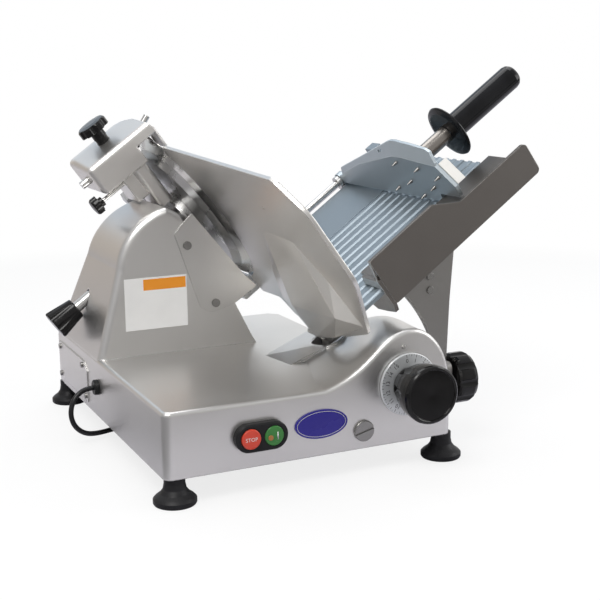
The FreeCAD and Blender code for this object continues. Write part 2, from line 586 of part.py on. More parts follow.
# slice deflector on the front of the tower, with its screws
dfl = slab([(97, TOWER_Y0 - 2.6, 240, 3), (105, TOWER_Y0 - 2.6, 250, 4), (119, TOWER_Y0 - 2.6, 263.5), (183, TOWER_Y0 - 2.6, 186), (200, TOWER_Y0 - 2.6, 170), (172, TOWER_Y0 - 2.6, 151.5, 6), (140, TOWER_Y0 - 2.6, 142, 14), (127, TOWER_Y0 - 2.6, 150, 8)], (0, 2.6, 0))
flange = prism([(119, TOWER_Y0 - 2.6, 263.5), (117, TOWER_Y0 - 2.6, 262), (181, TOWER_Y0 - 2.6, 184.6), (197.6, TOWER_Y0 - 2.6, 169), (200, TOWER_Y0 - 2.6, 170), (183, TOWER_Y0 - 2.6, 186)], (0, 18, 0))
dfl = dfl.fuse(flange).removeSplitter()
keep("slice_deflector", dfl)
ds = []
for x, z in ((112, 226), (146, 154)):
    ds.append(fuse(cyl(2.5, (x, TOWER_Y0 - 3.0, z), (0, 1, 0), 3.0), cyl(5.0, (x, TOWER_Y0 - 5.2, z), (0, 1, 0), 2.6)))
keep("deflector_screws", Part.makeCompound([d.cut(dfl) for d in ds]))

# ----------------------------------------------------------------------------
# Carriage: rail, trolley, arm, table with its fence, pusher
# ----------------------------------------------------------------------------
KNOB_Y, KNOB_Z = 44.0, 78.5
keep("carriage_rail", cyl(RAIL_R, (RAIL_X, 4, RAIL_Z), (0, 1, 0), 421))
tr = box(284, 34, 38, 316, 134, 70)
tr = tr.fuse(box(314, 40, 48, 345, 72, 60)).fuse(box(337, 28, 46, 345, 68, 100)).removeSplitter()
tr = fillet_where(tr, 8.0, lambda m, t, e: along(t, (1, 0, 0)) and m.z > 99 and m.x > 336)
# the upper corner on the cam side is taken off, so that the cam turns clear of it
tr = tr.cut(prism([(283, 33, 64.0), (283, 33, 71), (296.0, 33, 71)], (0, 110, 0)))
tr = tr.cut(cyl(RAIL_R + 0.06, (RAIL_X, 30, RAIL_Z), (0, 1, 0), 110)).cut(cyl(5.0, (330, KNOB_Y, KNOB_Z), (1, 0, 0), 20))
keep("trolley", tr)

# arm: flat plate behind the fence, rising from the trolley to the table
ay0, ay1 = 40.0, 47.0
arc = Part.Arc(V(336.5, ay0, 116.0), V(319.0, ay0, 154.0), V(297.6, ay0, 181.2)).toShape()
pA = S(347.0, ay0, -22.8)
pB = S(429.0, ay0, -22.8)
chain = [pB, V(355.4, ay0, 171.0), V(352.4, ay0, 104.0), V(352.4, ay0, 66.0), V(346.0, ay0, 66.0), V(346.0, ay0, 104.0), V(336.5, ay0, 116.0)]
edges = [Part.LineSegment(u, v).toShape() for u, v in zip(chain, chain[1:])]
edges += [arc, Part.LineSegment(V(297.6, ay0, 181.2), pA).toShape(), Part.LineSegment(pA, pB).toShape()]
arm = Part.Face(Part.Wire(edges)).extrude(V(0, ay1 - ay0, 0))
# stiffening rib along the outer edge and the foot that meets the trolley
rib = prism([(345.8, 28, 66), (352.4, 28, 66), (352.4, 28, 101), (345.8, 28, 101)], (0, 40, 0))
rib = fillet_where(rib, 8.0, lambda m, t, e: along(t, (1, 0, 0)))
web = prism([(346.2, 44, 90), (352.4, 44, 90), (352.4, 44, 112), (355.4, 44, 171), (358.6, 44, 212), (352.6, 44, 206), (349.4, 44, 171)], (0, 24, 0))
seat = tilt(box(356, 44, -22.8, 426, 72, -12.2))
arm = arm.fuse(rib).fuse(web).fuse(seat).removeSplitter()
arm = fillet_where(arm, 1.2, lambda m, t, e: m.y < ay0 + 0.05 and m.z > 118 and e.Length > 30)
arm = arm.cut(cyl(5.0, (330, KNOB_Y, KNOB_Z), (1, 0, 0), 30))
keep("carriage_arm", arm)
keep("arm_screws", Part.makeCompound([fuse(cyl(4.4, (x, ay0 - 1.8, z), (0, 1, 0), 1.8)) for x, z in ((328.7, 200.6), (329.2, 184.9))]))

# clamp knob for the table arm, axis along X, with its stud
kk = revolve([(5.9, 356.0), (20.0, 356.0), (26.0, 357.0), (28.6, 359.0), (29.2, 362.0), (29.2, 376.0), (27.0, 380.4), (20.0, 382.6), (10.0, 383.6), (0.001, 383.6), (0.001, 368.0), (5.9, 368.0)],
             (0, KNOB_Y, KNOB_Z), (1, 0, 0), (0, 1, 0))
for i in range(9):
    a = 2 * math.pi * (i + 0.5) / 9
    kk = kk.cut(cyl(6.2, (354, KNOB_Y + 32.4 * math.cos(a), KNOB_Z + 32.4 * math.sin(a)), (1, 0, 0), 40))
kk = kk.fuse(cyl(4.94, (338.0, KNOB_Y, KNOB_Z), (1, 0, 0), 28.5)).fuse(cyl(7.0, (353.0, KNOB_Y, KNOB_Z), (1, 0, 0), 16.0)).removeSplitter()
keep("arm_knob", kk)

# table casting and its ridges, in (n, y, s)
tab = box(TRAY_N0, TRAY_Y0, -6.0, TRAY_N1, TRAY_Y1, -1.6)
tab = tab.fuse(box(TRAY_N0, 234, -2.0, TRAY_N1, TRAY_Y1, 0.0))
for k in range(12):
    y = 41.5 + 17.0 * k
    tab = tab.fuse(prism([(TRAY_N0, y - 5.0, -1.8), (TRAY_N0, y - 3.0, 0.2), (TRAY_N0, y + 3.0, 0.2), (TRAY_N0, y + 5.0, -1.8)], (TRAY_N1 - TRAY_N0, 0, 0)))
# ribs underneath
tab = tab.fuse(box(340, 76, -12.0, 534, 82, -5.0)).fuse(box(300, 230, -12.0, 534, 236, -5.0)).fuse(box(345, 48, -12.0, 430, 76, -5.0))
# back bosses for the pusher rod
for n0 in (TRAY_N0 + 2, TRAY_N1 - 16):
    tab = tab.fuse(box(n0, 330, -6.0, n0 + 14, 351, 13.0))
tab = tab.removeSplitter().cut(cyl(PUSH_ROD_R, (TRAY_N0 - 1, PUSH_ROD_Y, PUSH_ROD_S), (1, 0, 0), 260))
# edge relieved so that the ear of the pusher swings past it
tab = tab.cut(cyl(11.5, (TRAY_N0 + 16.5, PUSH_ROD_Y, PUSH_ROD_S), (1, 0, 0), TRAY_N1 - TRAY_N0 - 33))
keep("food_table", tilt(tab))

# fence: tall wall on the operator's side with a ledge on the table and an end face
wall = [(331.6, 37, 3), (427.5, 37, 7), (458, 16.8, 9), (562, 16.8, 5), (562.0, -22.6, 6), (330.6, -22.6, 3)]
fence = slab([(nn, WALL_Y, ss, rr) for nn, ss, rr in wall], (0, 5, 0))
ledge = box(TRAY_N0 + 46, 34, 0.4, 540, 78, 12.0)
# end flange, turned in at the knife end and carried down past the table
flange = prism([(327.0, 31.0, 34.0), (327.0, 36.0, 12.0), (327.0, 68, 12.0), (327.0, 76, -10.0), (327.0, 92, -36.0), (327.0, 86, -41.0), (327.0, 60, -38.0), (327.0, 38, -34.0), (327.0, 31.0, -22.0)], (4.6, 0, 0))
flange = flange.cut(box(326, 30, 12.01, 332, 35.0, 40)).fuse(prism([(327.0, 31.0, 12.0), (327.0, 36.0, 12.0), (332.2, 36.0, 36.8), (332.2, 31.0, 36.8)], (1.0, 0, 0)))
fence = fence.fuse(ledge).fuse(flange).fuse(box(331, WALL_Y + 0.5, -22.0, 334, 36, 12.0)).removeSplitter()
fence = fence.cut(box(300, WALL_Y + 5.05, -6.2, 345, 120, 0.35))
try:
    fence = fillet_where(fence, 1.6, lambda m, t, e: m.y < WALL_Y + 5.2 and abs(t.y) < 0.1 and m.z > 13.5 and m.x > 340 and e.Length > 8)
except Exception as ex:
    print("fence edges kept sharp", ex)
# the fence takes the place of the table's first ridges under its ledge
ftab = tilt(tab)
fence_t = tilt(fence).cut(ftab)
keep("table_fence", fence_t)

keep("pusher_rod", tilt(cyl(PUSH_ROD_R, (TRAY_N0 + 2, PUSH_ROD_Y, PUSH_ROD_S), (1, 0, 0), TRAY_N1 - TRAY_N0 - 4)))

PN = 466.0
HY, HS = 113.0, 53.0       # handle axis
pp = [(42, 15), (39, 30), (57, 57), (93, 60.5), (125, 64), (147, 64), (249, 43), (312, 23.5), (328, 13), (330, 6), (324, 3.2), (84, 3.2), (84, 15)]
push = prism([(PN, y, s) for y, s in pp], (5, 0, 0))
push = fillet_where(push, 3.0, lambda m, t, e: along(t, (1, 0, 0)) and e.Length < 6 and m.y > 50 and m.z < 40)
top = [(57, 57), (93, 60.5), (125, 64), (147, 64), (249, 43), (312, 23.5), (326, 14.5)]
strip = None
for (y0, s0), (y1, s1) in zip(top, top[1:]):
    q = prism([(PN, y0, s0 - 1.5), (PN + 3.4, y0, s0 - 1.5), (PN + 11.4, y0, s0 + 18.5), (PN + 8.0, y0, s0 + 18.5)], (0, y1 - y0, s1 - s0))
    strip = q if strip is None else strip.fuse(q)
over = [(40, 60), (57.5, 60), (64, 71.5), (72, 74.5), (107, 79), (133, 81.6), (144, 81.3), (154, 79), (312, 30.6), (345, 19.5), (345, 130), (40, 130)]
lip = strip.cut(prism([(PN - 5, y, s) for y, s in over], (40, 0, 0)))
lip = lip.cut(prism([(PN - 5, 172, 66), (PN - 5, 183, 63.4), (PN - 5, 183, 66.6), (PN - 5, 172, 69.2)], (40, 0, 0)))
push = push.fuse(lip).removeSplitter()
push = push.fuse(cyl(15.0, (PN + 4, HY, HS - 6), (1, 0, 0), 8))
push = push.fuse(prism([(PN, 300, 4), (PN, 336, 4), (PN, 336, 14), (PN, 300, 24)], (8, 0, 0)))
push = push.removeSplitter()
# ear of the plate, free to swing on the slider
push = push.cut(cyl(7.6, (PN - 10, PUSH_ROD_Y, PUSH_ROD_S), (1, 0, 0), 40))
ear = ring(11.0, 7.58, (PN, PUSH_ROD_Y, PUSH_ROD_S), (1, 0, 0), 8)
push = push.fuse(ear).removeSplitter()
keep("pusher_plate", tilt(push))
sl = ring(7.5, PUSH_ROD_R + 0.06, (PN - 6, PUSH_ROD_Y, PUSH_ROD_S), (1, 0, 0), 38)
sl = sl.fuse(ring(9.6, PUSH_ROD_R + 0.06, (PN - 6, PUSH_ROD_Y, PUSH_ROD_S), (1, 0, 0), 5.4)).fuse(ring(9.6, PUSH_ROD_R + 0.06, (PN + 8.6, PUSH_ROD_Y, PUSH_ROD_S), (1, 0, 0), 23.4)).removeSplitter()
keep("pusher_slider", tilt(sl))

sp = []
for y, s in ((143.5, 55), (99, 50), (63, 41), (134.6, 28), (176, 14), (87, 24), (122.5, 8)):
    sp.append(tilt(Part.makeCone(2.4, 0.4, 7.0, V(PN, y, s), V(-1, 0, 0))))
keep("pusher_spikes", Part.makeCompound(sp))
pad = prism([(PN + 5.0, 38, 31), (PN + 5.0, 55.2, 57.4), (PN + 5.0, 58.4, 55.4), (PN + 5.0, 42.0, 29.6)], (11.5, 0, 0))
keep("pusher_edge_guard", tilt(pad.cut(push)))
keep("handle_tube", tilt(cyl(10.0, (PN + 12.1, HY, HS), (1, 0, 0), 47.4)))
keep("handle_guard", tilt(revolve([(10.0, 526.0), (18.0, 526.0), (27.0, 526.8), (32.5, 528.6), (33.6, 530.4), (33.0, 531.8), (27.0, 530.8), (17.0, 531.5), (10.0, 531.5)],
                                  (0, HY, HS), (1, 0, 0), (0, 1, 0))))
hg = revolve([(0.001, 531.6), (13.0, 531.6), (14.8, 533.4), (14.8, 632.0), (13.9, 636.0), (11.8, 638.8), (8.0, 640.4), (0.001, 641.0)], (0, HY, HS), (1, 0, 0), (0, 1, 0))
keep("handle_grip", tilt(hg))

# ----------------------------------------------------------------------------
# Built-in sharpener on top of the tower
# ----------------------------------------------------------------------------
KN_N, KN_Y = 241.0, 338.0
SH_Y0, SH_Y1 = 297.0, 375.0
sb = slab([(195.0, SH_Y0, 206.5, 1.0), (195.0, SH_Y0, 244.0, 7.0), (195.0, 352.0, 252.6, 60.0), (195.0, SH_Y1, 250.6, 8.0), (195.0, SH_Y1, 206.5, 1.0)], (97.5, 0, 0))
# the knife end slopes off at the top
sb = sb.cut(prism([(281.0, 290, 262), (293.5, 290, 232), (293.5, 290, 262)], (0, 100, 0)))
sb = sb.cut(prism([(266.0, 376, 200), (293.5, 376, 200), (293.5, 322, 200)], (0, 0, 70)))
for rr, test in ((7.0, lambda m, t, e: m.x < 195.1), (2.5, lambda m, t, e: m.x > 279 and m.z > 231 and not along(t, (1, 0, 0)) and m.y > SH_Y0 + 6)):
    for k in (1.0, 0.7, 0.4):
        try:
            sb = fillet_where(sb, rr * k, test)
            print("sharpener rounded", rr * k)
            break
        except Exception as ex:
            pass
sb = sb.cut(box(262.0, 280, 190, 289.5, 390, 228.6))
sb = sb.cut(cyl(5.06, (190, 325, 228), (1, 0, 0), 75)).cut(cyl(9.0, (260, 325, 228), (1, 0, 0), 19)).cut(cyl(8.05, (KN_N, KN_Y, 200), (0, 0, 1), 70))
br = box(240.5, 300, 150, 259.6, 352, 206.5).fuse(box(224, 306, 172, 242, 352, 206.5)).removeSplitter()
br = fillet_where(br, 5.0, lambda m, t, e: along(t, (0, 0, 1)) and m.y < 301)
br = br.cut(cyl(8.05, (KN_N, KN_Y, 186), (0, 0, 1), 30)).cut(cyl(2.55, (160, 312, 201), (1, 0, 0), 110))
keep("sharpener_post", tilt(br).cut(tower).cut(tilt(cyl(34.3, (200, KNIFE_Y, KNIFE_S), (1, 0, 0), 40))))
lk = lobed(19.0, 7, 2.6, 11.0, (KN_N, KN_Y, 266.5), (0, 0, 1), (1, 0, 0), dome=3.0)
lk = lk.fuse(cyl(8.6, (KN_N, KN_Y, 256.5), (0, 0, 1), 11)).fuse(cyl(8.0, (KN_N, KN_Y, 187.0), (0, 0, 1), 70)).removeSplitter()
keep("sharpener_knob", tilt(lk))
# grinding stone on its push spindle
keep("grind_pin", tilt(fuse(cyl(5.0, (184, 325, 228), (1, 0, 0), 78), cyl(2.5, (261, 325, 228), (1, 0, 0), 9.0))))
keep("grind_stone", tilt(ring(8.0, 2.56, (264.6, 325, 228), (1, 0, 0), 5.0)))
# deburring stone: its push pin stands up out of the far end of the body
th = math.radians(21.5)
pd = (math.cos(th), 0, math.sin(th))
P_END = (302.2, 334, 241.6)
pin = Part.makeCylinder(4.0, 24, V(*P_END), V(-pd[0], 0, -pd[2]))
pin = pin.cut(box(250, 300, 180, 300, 380, 229.6))
keep("deburr_pin", tilt(pin))
hole = Part.makeCylinder(4.06, 60, V(P_END[0] + 5 * pd[0], 334, P_END[2] + 5 * pd[2]), V(-pd[0], 0, -pd[2]))
keep("sharpener_body", tilt(sb.cut(hole)))
keep("deburr_stone", tilt(fuse(cyl(7.0, (284.8, 334, 214), (1, 0, 0), 3.4), cyl(3.0, (284.8, 334, 214), (1, 0, 0), 4.7))))
# long clamp screw with its small star knob
ck2 = lobed(11.0, 6, 2.0, 10.0, (186, 312, 201.0), (-1, 0, 0), (0, 1, 0), dome=3.0)
ck2 = ck2.fuse(cyl(6.0, (185.8, 312, 201.0), (1, 0, 0), 5.2)).removeSplitter().cut(cyl(2.53, (180.98, 312, 201), (1, 0, 0), 14))
keep("clamp_knob", tilt(ck2))
keep("clamp_screw", tilt(cyl(2.5, (181, 312, 201), (1, 0, 0), 76)))

# ----------------------------------------------------------------------------
# Power cord: gland, free lead, coil of the unused length, plug
# ----------------------------------------------------------------------------
# nut outside the wall, tapered sleeve inside it
gl = revolve([(CORD_D / 2, -5.6), (8.0, -5.6), (9.0, -4.4), (9.0, -0.1), (7.5, -0.1), (7.5, 7.0), (6.6, 9.0), (5.0, 14.0), (CORD_D / 2, 14.0)],
             (0, GLAND_Y, GLAND_Z), (1, 0, 0), (0, 1, 0))
keep("cord_gland", gl)

FLOOR_Z = CORD_D / 2 + 0.05
COIL_X, COIL_Y, COIL_R = 135.4, 504.0, 38.9
ROUTE = [(-1.0, GLAND_Y, GLAND_Z), (-14.0, GLAND_Y, GLAND_Z), (-25.8, 236.8, 60.5), (-33.6, 233.7, 50.0), (-35.5, 232.6, 36.6),
         (-30.8, 233.6, 22.9), (-18.9, 236.6, 12.4), (-2.8, 241.0, 9.0), (25.5, 257.3, 6.8), (60.0, 282.0, FLOOR_Z),
         (84.0, 312.0, FLOOR_Z), (97.0, 348.0, FLOOR_Z), (102.0, 385.0, FLOOR_Z), (102.0, 422.0, FLOOR_Z), (99.0, 457.0, FLOOR_Z),
         (96.6, 488.0, FLOOR_Z)]


def tube_path(route, d, name):
    """Straight runs joined by tangent arcs, swept as a round tube."""
    P = [V(*p) for p in route]
    m = len(P)
    edges, length, radii = [], 0.0, []
    cur = P[0]
    for i in range(1, m - 1):
        a, b = (P[i - 1] - P[i]), (P[i + 1] - P[i])
        la, lb = a.Length, b.Length
        ua, ub = a * (1 / la), b * (1 / lb)
        turn = math.pi - math.acos(max(-1, min(1, ua.dot(ub))))
        t = 0.45 * min(la, lb)
        r = t / math.tan(turn / 2)
        radii.append(round(r, 1))
        s0, s1 = P[i] + ua * t, P[i] + ub * t
        bis = (ua + ub); bis.normalize()
        cen = P[i] + bis * (r / math.cos(turn / 2))
        mid = cen - bis * r
        edges.append(Part.LineSegment(cur, s0).toShape())
        edges.append(Part.Arc(s0, mid, s1).toShape())
        length += (s0 - cur).Length + r * turn
        cur = s1
    edges.append(Part.LineSegment(cur, P[-1]).toShape())
    length += (P[-1] - cur).Length
    wire = Part.Wire(edges)
    d0 = P[1] - P[0]
    prof = Part.Wire(Part.Circle(P[0], d0, d / 2).toShape())
    solid = wire.makePipeShell([prof], True, False)
    want = math.pi * d * d / 4 * length
    print(name, "length %.1f" % length, "volume ratio %.4f" % (solid.Volume / want), "radii", radii)
    return solid, length


lead, lead_len = tube_path(ROUTE, CORD_D, "power_cord")
keep("power_cord", lead)
# coil of the unused length: turns side by side and in three layers, lying on the floor behind the machine
coil = cyl(COIL_R + CORD_D / 2 + 0.3, (COIL_X, COIL_Y, 0.05), (0, 0, 1), 18.4)
coil = coil.cut(cyl(COIL_R - CORD_D * 1.5 - 0.4, (COIL_X, COIL_Y, -1), (0, 0, 1), 30))
keep("cord_coil", coil)
# plug with its boot, lying on the floor where the last turn leaves the coil
PX, PY, PZ = COIL_X + 18.0, COIL_Y + COIL_R, 13.4
pl = rbox(PX + 22, PY - 13, 0.3, PX + 60, PY + 13, 26.3, 6, (1, 0, 0))
pl = fillet_where(pl, 2.0, lambda m, t, e: m.x < PX + 22.1 or m.x > PX + 59.9)
boot = revolve([(0.001, 0), (3.7, 0), (4.4, 1.0), (8.6, 20.0), (8.6, 23.0), (0.001, 23.0)], (PX, PY, PZ), (1, 0, 0), (0, 1, 0))
for k in range(4):
    boot = boot.cut(ring(12.0, 4.0 + 0.95 * k, (PX + 4.0 + 4.2 * k, PY, PZ), (1, 0, 0), 1.4))
pl = pl.fuse(boot).removeSplitter()
pins = [box(PX + 59, PY - 7.1, 12.8, PX + 77, PY - 5.6, 19.1), box(PX + 59, PY + 5.6, 12.8, PX + 77, PY + 7.1, 19.1),
        cyl(2.4, (PX + 59, PY, 4.6), (1, 0, 0), 20.0)]
keep("plug", pl.fuse(Part.makeCompound(pins)).removeSplitter())

# ----------------------------------------------------------------------------
for name, shape in sorted(NODES.items()):
    shape.exportStep("parts/%s.step" % name)
cords = ("power_cord", "cord_coil", "plug", "cord_gland")
bb = FreeCAD.BoundBox()
for name, shape in NODES.items():
    if name not in cords:
        bb.add(shape.BoundBox)
print(len(NODES), "nodes; body box", [round(v, 2) for v in (bb.XMin, bb.XMax, bb.YMin, bb.YMax, bb.ZMin, bb.ZMax)])
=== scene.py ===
import json
import math
import bpy
import bmesh
from mathutils import Matrix, Vector

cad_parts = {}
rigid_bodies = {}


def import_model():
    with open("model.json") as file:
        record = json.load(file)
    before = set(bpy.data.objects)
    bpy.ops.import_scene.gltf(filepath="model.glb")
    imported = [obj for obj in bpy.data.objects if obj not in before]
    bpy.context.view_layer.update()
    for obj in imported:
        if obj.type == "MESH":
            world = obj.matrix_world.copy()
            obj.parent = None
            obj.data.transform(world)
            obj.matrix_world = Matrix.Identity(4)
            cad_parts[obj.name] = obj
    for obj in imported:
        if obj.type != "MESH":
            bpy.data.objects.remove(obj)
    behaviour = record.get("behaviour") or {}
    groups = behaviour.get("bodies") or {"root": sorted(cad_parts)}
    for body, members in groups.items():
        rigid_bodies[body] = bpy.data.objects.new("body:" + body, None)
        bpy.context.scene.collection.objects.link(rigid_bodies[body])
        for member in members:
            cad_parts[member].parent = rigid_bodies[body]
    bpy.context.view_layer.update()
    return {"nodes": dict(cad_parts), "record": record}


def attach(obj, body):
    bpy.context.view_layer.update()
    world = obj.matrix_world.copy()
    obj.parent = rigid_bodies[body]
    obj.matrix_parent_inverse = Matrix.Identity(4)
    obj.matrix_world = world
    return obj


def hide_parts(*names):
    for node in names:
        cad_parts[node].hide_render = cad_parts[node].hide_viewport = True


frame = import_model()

BODY_OF = {n: b for b, ns in frame["record"]["behaviour"]["bodies"].items() for n in ns}
NODE = {n: (frame["nodes"][n] if not isinstance(frame["nodes"], (list, tuple)) else bpy.data.objects[n]) for n in BODY_OF}

# bench frame of the drawing, in millimetres, to the row frame, in metres
ORG_X, ORG_Y = 228.5, 202.6
CA, SA = math.cos(math.radians(36.0)), math.sin(math.radians(36.0))


def W(x, y, z):
    return Vector(((x - ORG_X) / 1000.0, (y - ORG_Y) / 1000.0, z / 1000.0))


def S(n, y, s):
    return W(n * CA - s * SA, y, n * SA + s * CA)


# ---------------------------------------------------------------- camera
yaw, pitch, roll = math.radians(25.30), math.radians(11.69), math.radians(-0.65)
fw = Vector((math.sin(yaw) * math.cos(pitch), math.cos(yaw) * math.cos(pitch), -math.sin(pitch)))
rt = Vector((math.cos(yaw), -math.sin(yaw), 0.0))
up = rt.cross(fw)
rt2 = rt * math.cos(roll) + up * math.sin(roll)
up2 = -rt * math.sin(roll) + up * math.cos(roll)
cam_data = bpy.data.cameras.new("camera")
cam = bpy.data.objects.new("camera", cam_data)
bpy.context.scene.collection.objects.link(cam)
m = Matrix((rt2, up2, -fw)).transposed().to_4x4()
m.translation = W(-335.52, -1026.32, 433.51)
cam.matrix_world = m
cam_data.sensor_fit = "HORIZONTAL"
cam_data.sensor_width = 36.0
cam_data.lens = 1141.5 / 600.0 * 36.0
cam_data.clip_end = 50.0
bpy.context.scene.camera = cam

# ---------------------------------------------------------------- materials


class Net:
    """Short way to write a node tree."""

    def __init__(self, tree):
        self.t = tree
        self.n = tree.nodes
        self.l = tree.links

    def new(self, kind, **props):
        node = self.n.new(kind)
        for k, v in props.items():
            setattr(node, k, v)
        return node

    def link(self, a, b):
        self.l.new(a, b)

    def coords(self, scale=(1, 1, 1), rot=(0, 0, 0)):
        tc = self.new("ShaderNodeTexCoord")
        mp = self.new("ShaderNodeMapping")
        mp.inputs["Scale"].default_value = scale
        mp.inputs["Rotation"].default_value = rot
        self.link(tc.outputs["Object"], mp.inputs["Vector"])
        return mp.outputs["Vector"]

    def noise(self, vec, scale, detail=3.0, rough=0.55, dist=0.0):
        nz = self.new("ShaderNodeTexNoise")
        nz.inputs["Scale"].default_value = scale
        nz.inputs["Detail"].default_value = detail
        nz.inputs["Roughness"].default_value = rough
        nz.inputs["Distortion"].default_value = dist
        self.link(vec, nz.inputs["Vector"])
        return nz.outputs["Fac"]

    def remap(self, val, a, b, c, d):
        mr = self.new("ShaderNodeMapRange")
        for k, v in (("From Min", a), ("From Max", b), ("To Min", c), ("To Max", d)):
            mr.inputs[k].default_value = v
        self.link(val, mr.inputs["Value"])
        return mr.outputs["Result"]

    def math(self, op, a, b=None):
        mt = self.new("ShaderNodeMath", operation=op)
        for sock, v in zip(mt.inputs, (a, b)):
            if v is None:
                continue
            if isinstance(v, (int, float)):
                sock.default_value = v
            else:
                self.link(v, sock)
        return mt.outputs[0]

    def mixc(self, fac, a, b, blend="MIX"):
        mx = self.new("ShaderNodeMix", data_type="RGBA", blend_type=blend)
        if isinstance(fac, (int, float)):
            mx.inputs[0].default_value = fac
        else:
            self.link(fac, mx.inputs[0])
        for sock, v in ((mx.inputs[6], a), (mx.inputs[7], b)):
            if isinstance(v, tuple):
                sock.default_value = (*v[:3], 1.0)
            else:
                self.link(v, sock)
        return mx.outputs[2]


def new_mat(name):
    mt = bpy.data.materials.new(name)
    mt.use_nodes = True
    net = Net(mt.node_tree)
    bsdf = next(n for n in net.n if n.type == "BSDF_PRINCIPLED")
    return mt, net, bsdf


def edge_mask(net, radius, strength=4.0):
    """0 on faces, 1 on worn edges: how far the rounded normal leaves the true one."""
    bv = net.new("ShaderNodeBevel", samples=4)
    bv.inputs["Radius"].default_value = radius
    geo = net.new("ShaderNodeNewGeometry")
    dot = net.new("ShaderNodeVectorMath", operation="DOT_PRODUCT")
    net.link(bv.outputs[0], dot.inputs[0])
    net.link(geo.outputs["Normal"], dot.inputs[1])
    return bv.outputs[0], net.remap(dot.outputs["Value"], 1.0, 1.0 - 0.35 / strength, 0.0, 1.0)


def metal(name, base, rough, streak=None, streak_amt=0.10, var=0.06, grain=0.5, bevel=0.0012, tint=None, bump=0.12, wear=0.35, cloud=9.0, metallic=0.95, painted_lit_side=None):
    """Satin or brushed metal: clouded tone, fine grain, brushing along the long axis of the streak scale, bright worn edges."""
    mt, net, b = new_mat(name)
    vec = net.coords()
    big = net.noise(vec, cloud, 3.0, 0.6, 0.4)
    mid = net.noise(vec, 70.0, 4.0, 0.6)
    fine = net.noise(vec, 1500.0, 2.0, 0.7)
    tone = net.remap(big, 0.3, 0.7, -var, var)
    tone = net.math("ADD", tone, net.remap(mid, 0.3, 0.7, -var * 0.25, var * 0.25))
    tone = net.math("ADD", tone, net.remap(fine, 0.25, 0.75, -0.02 * grain, 0.02 * grain))
    height = net.math("MULTIPLY", fine, grain)
    r_extra = net.remap(big, 0.3, 0.7, -0.014, 0.018)
    if streak:
        sv = net.coords(streak)
        st = net.noise(sv, 1.0, 4.0, 0.65, 0.0)
        tone = net.math("ADD", tone, net.remap(st, 0.3, 0.7, -streak_amt, streak_amt))
        height = net.math("ADD", height, net.math("MULTIPLY", st, 1.4))
        r_extra = net.math("ADD", r_extra, net.remap(st, 0.3, 0.7, -0.02, 0.03))
    smooth_n, edge = edge_mask(net, bevel)
    worn = net.math("MULTIPLY", edge, wear * 0.6)
    dark = tuple(c * 0.80 for c in base)
    light = tuple(min(1.0, c * 1.14) for c in base)
    col = net.mixc(net.math("ADD", tone, 0.5), dark, light)
    if tint:
        big2 = net.noise(net.coords(), 4.2, 2.0, 0.5, 0.8)
        col = net.mixc(net.remap(big2, 0.45, 0.75, 0.0, 0.55), col, tint)
    if painted_lit_side:
        # painted light: faces turned along the given direction are painted a paler tone, a painted lit side
        lit_dir, pale = painted_lit_side
        geo = net.new("ShaderNodeNewGeometry")
        dp = net.new("ShaderNodeVectorMath", operation="DOT_PRODUCT")
        dp.inputs[1].default_value = lit_dir
        net.link(geo.outputs["Normal"], dp.inputs[0])
        col = net.mixc(net.remap(dp.outputs["Value"], 0.35, 0.85, 0.0, 1.0), col, pale)
    col = net.mixc(worn, col, tuple(min(1.0, c * 1.22 + 0.03) for c in base))
    net.link(col, b.inputs["Base Color"])
    b.inputs["Metallic"].default_value = metallic
    rr = net.math("ADD", r_extra, rough)
    rr = net.math("SUBTRACT", rr, net.math("MULTIPLY", edge, 0.07))
    net.link(rr, b.inputs["Roughness"])
    bp = net.new("ShaderNodeBump")
    bp.inputs["Strength"].default_value = bump
    bp.inputs["Distance"].default_value = 0.0004
    net.link(height, bp.inputs["Height"])
    net.link(smooth_n, bp.inputs["Normal"])
    net.link(bp.outputs[0], b.inputs["Normal"])
    return mt


def plastic(name, base, rough, coat=0.0, var=0.15, grain=600.0, bump=0.06, bevel=0.0008, spec=0.5, dust=0.0, edge_light=0.25):
    """Moulded plastic or rubber: slight mottling, fine grain, paler rubbed edges."""
    mt, net, b = new_mat(name)
    vec = net.coords()
    big = net.noise(vec, 26.0, 3.0, 0.55, 0.3)
    fine = net.noise(vec, grain, 3.0, 0.65)
    smooth_n, edge = edge_mask(net, bevel)
    light = tuple(min(1.0, c * (1 + var) + 0.006) for c in base)
    dark = tuple(c * (1 - var) for c in base)
    col = net.mixc(net.remap(big, 0.3, 0.7, 0.0, 1.0), dark, light)
    pale = tuple(min(1.0, c * 1.6 + 0.035) for c in base)
    col = net.mixc(net.math("MULTIPLY", edge, edge_light), col, pale)
    if dust:
        geo = net.new("ShaderNodeNewGeometry")
        sep = net.new("ShaderNodeSeparateXYZ")
        net.link(geo.outputs["Normal"], sep.inputs[0])
        d = net.math("MULTIPLY", net.remap(sep.outputs["Z"], 0.1, 1.0, 0.0, dust), fine)
        col = net.mixc(d, col, (0.35, 0.34, 0.33))
    net.link(col, b.inputs["Base Color"])
    net.link(net.math("ADD", net.remap(big, 0.3, 0.7, -0.05, 0.07), rough), b.inputs["Roughness"])
    b.inputs["Specular IOR Level"].default_value = spec
    b.inputs["Coat Weight"].default_value = coat
    b.inputs["Coat Roughness"].default_value = 0.06
    bp = net.new("ShaderNodeBump")
    bp.inputs["Strength"].default_value = bump
    bp.inputs["Distance"].default_value = 0.0003
    net.link(fine, bp.inputs["Height"])
    net.link(smooth_n, bp.inputs["Normal"])
    net.link(bp.outputs[0], b.inputs["Normal"])
    return mt


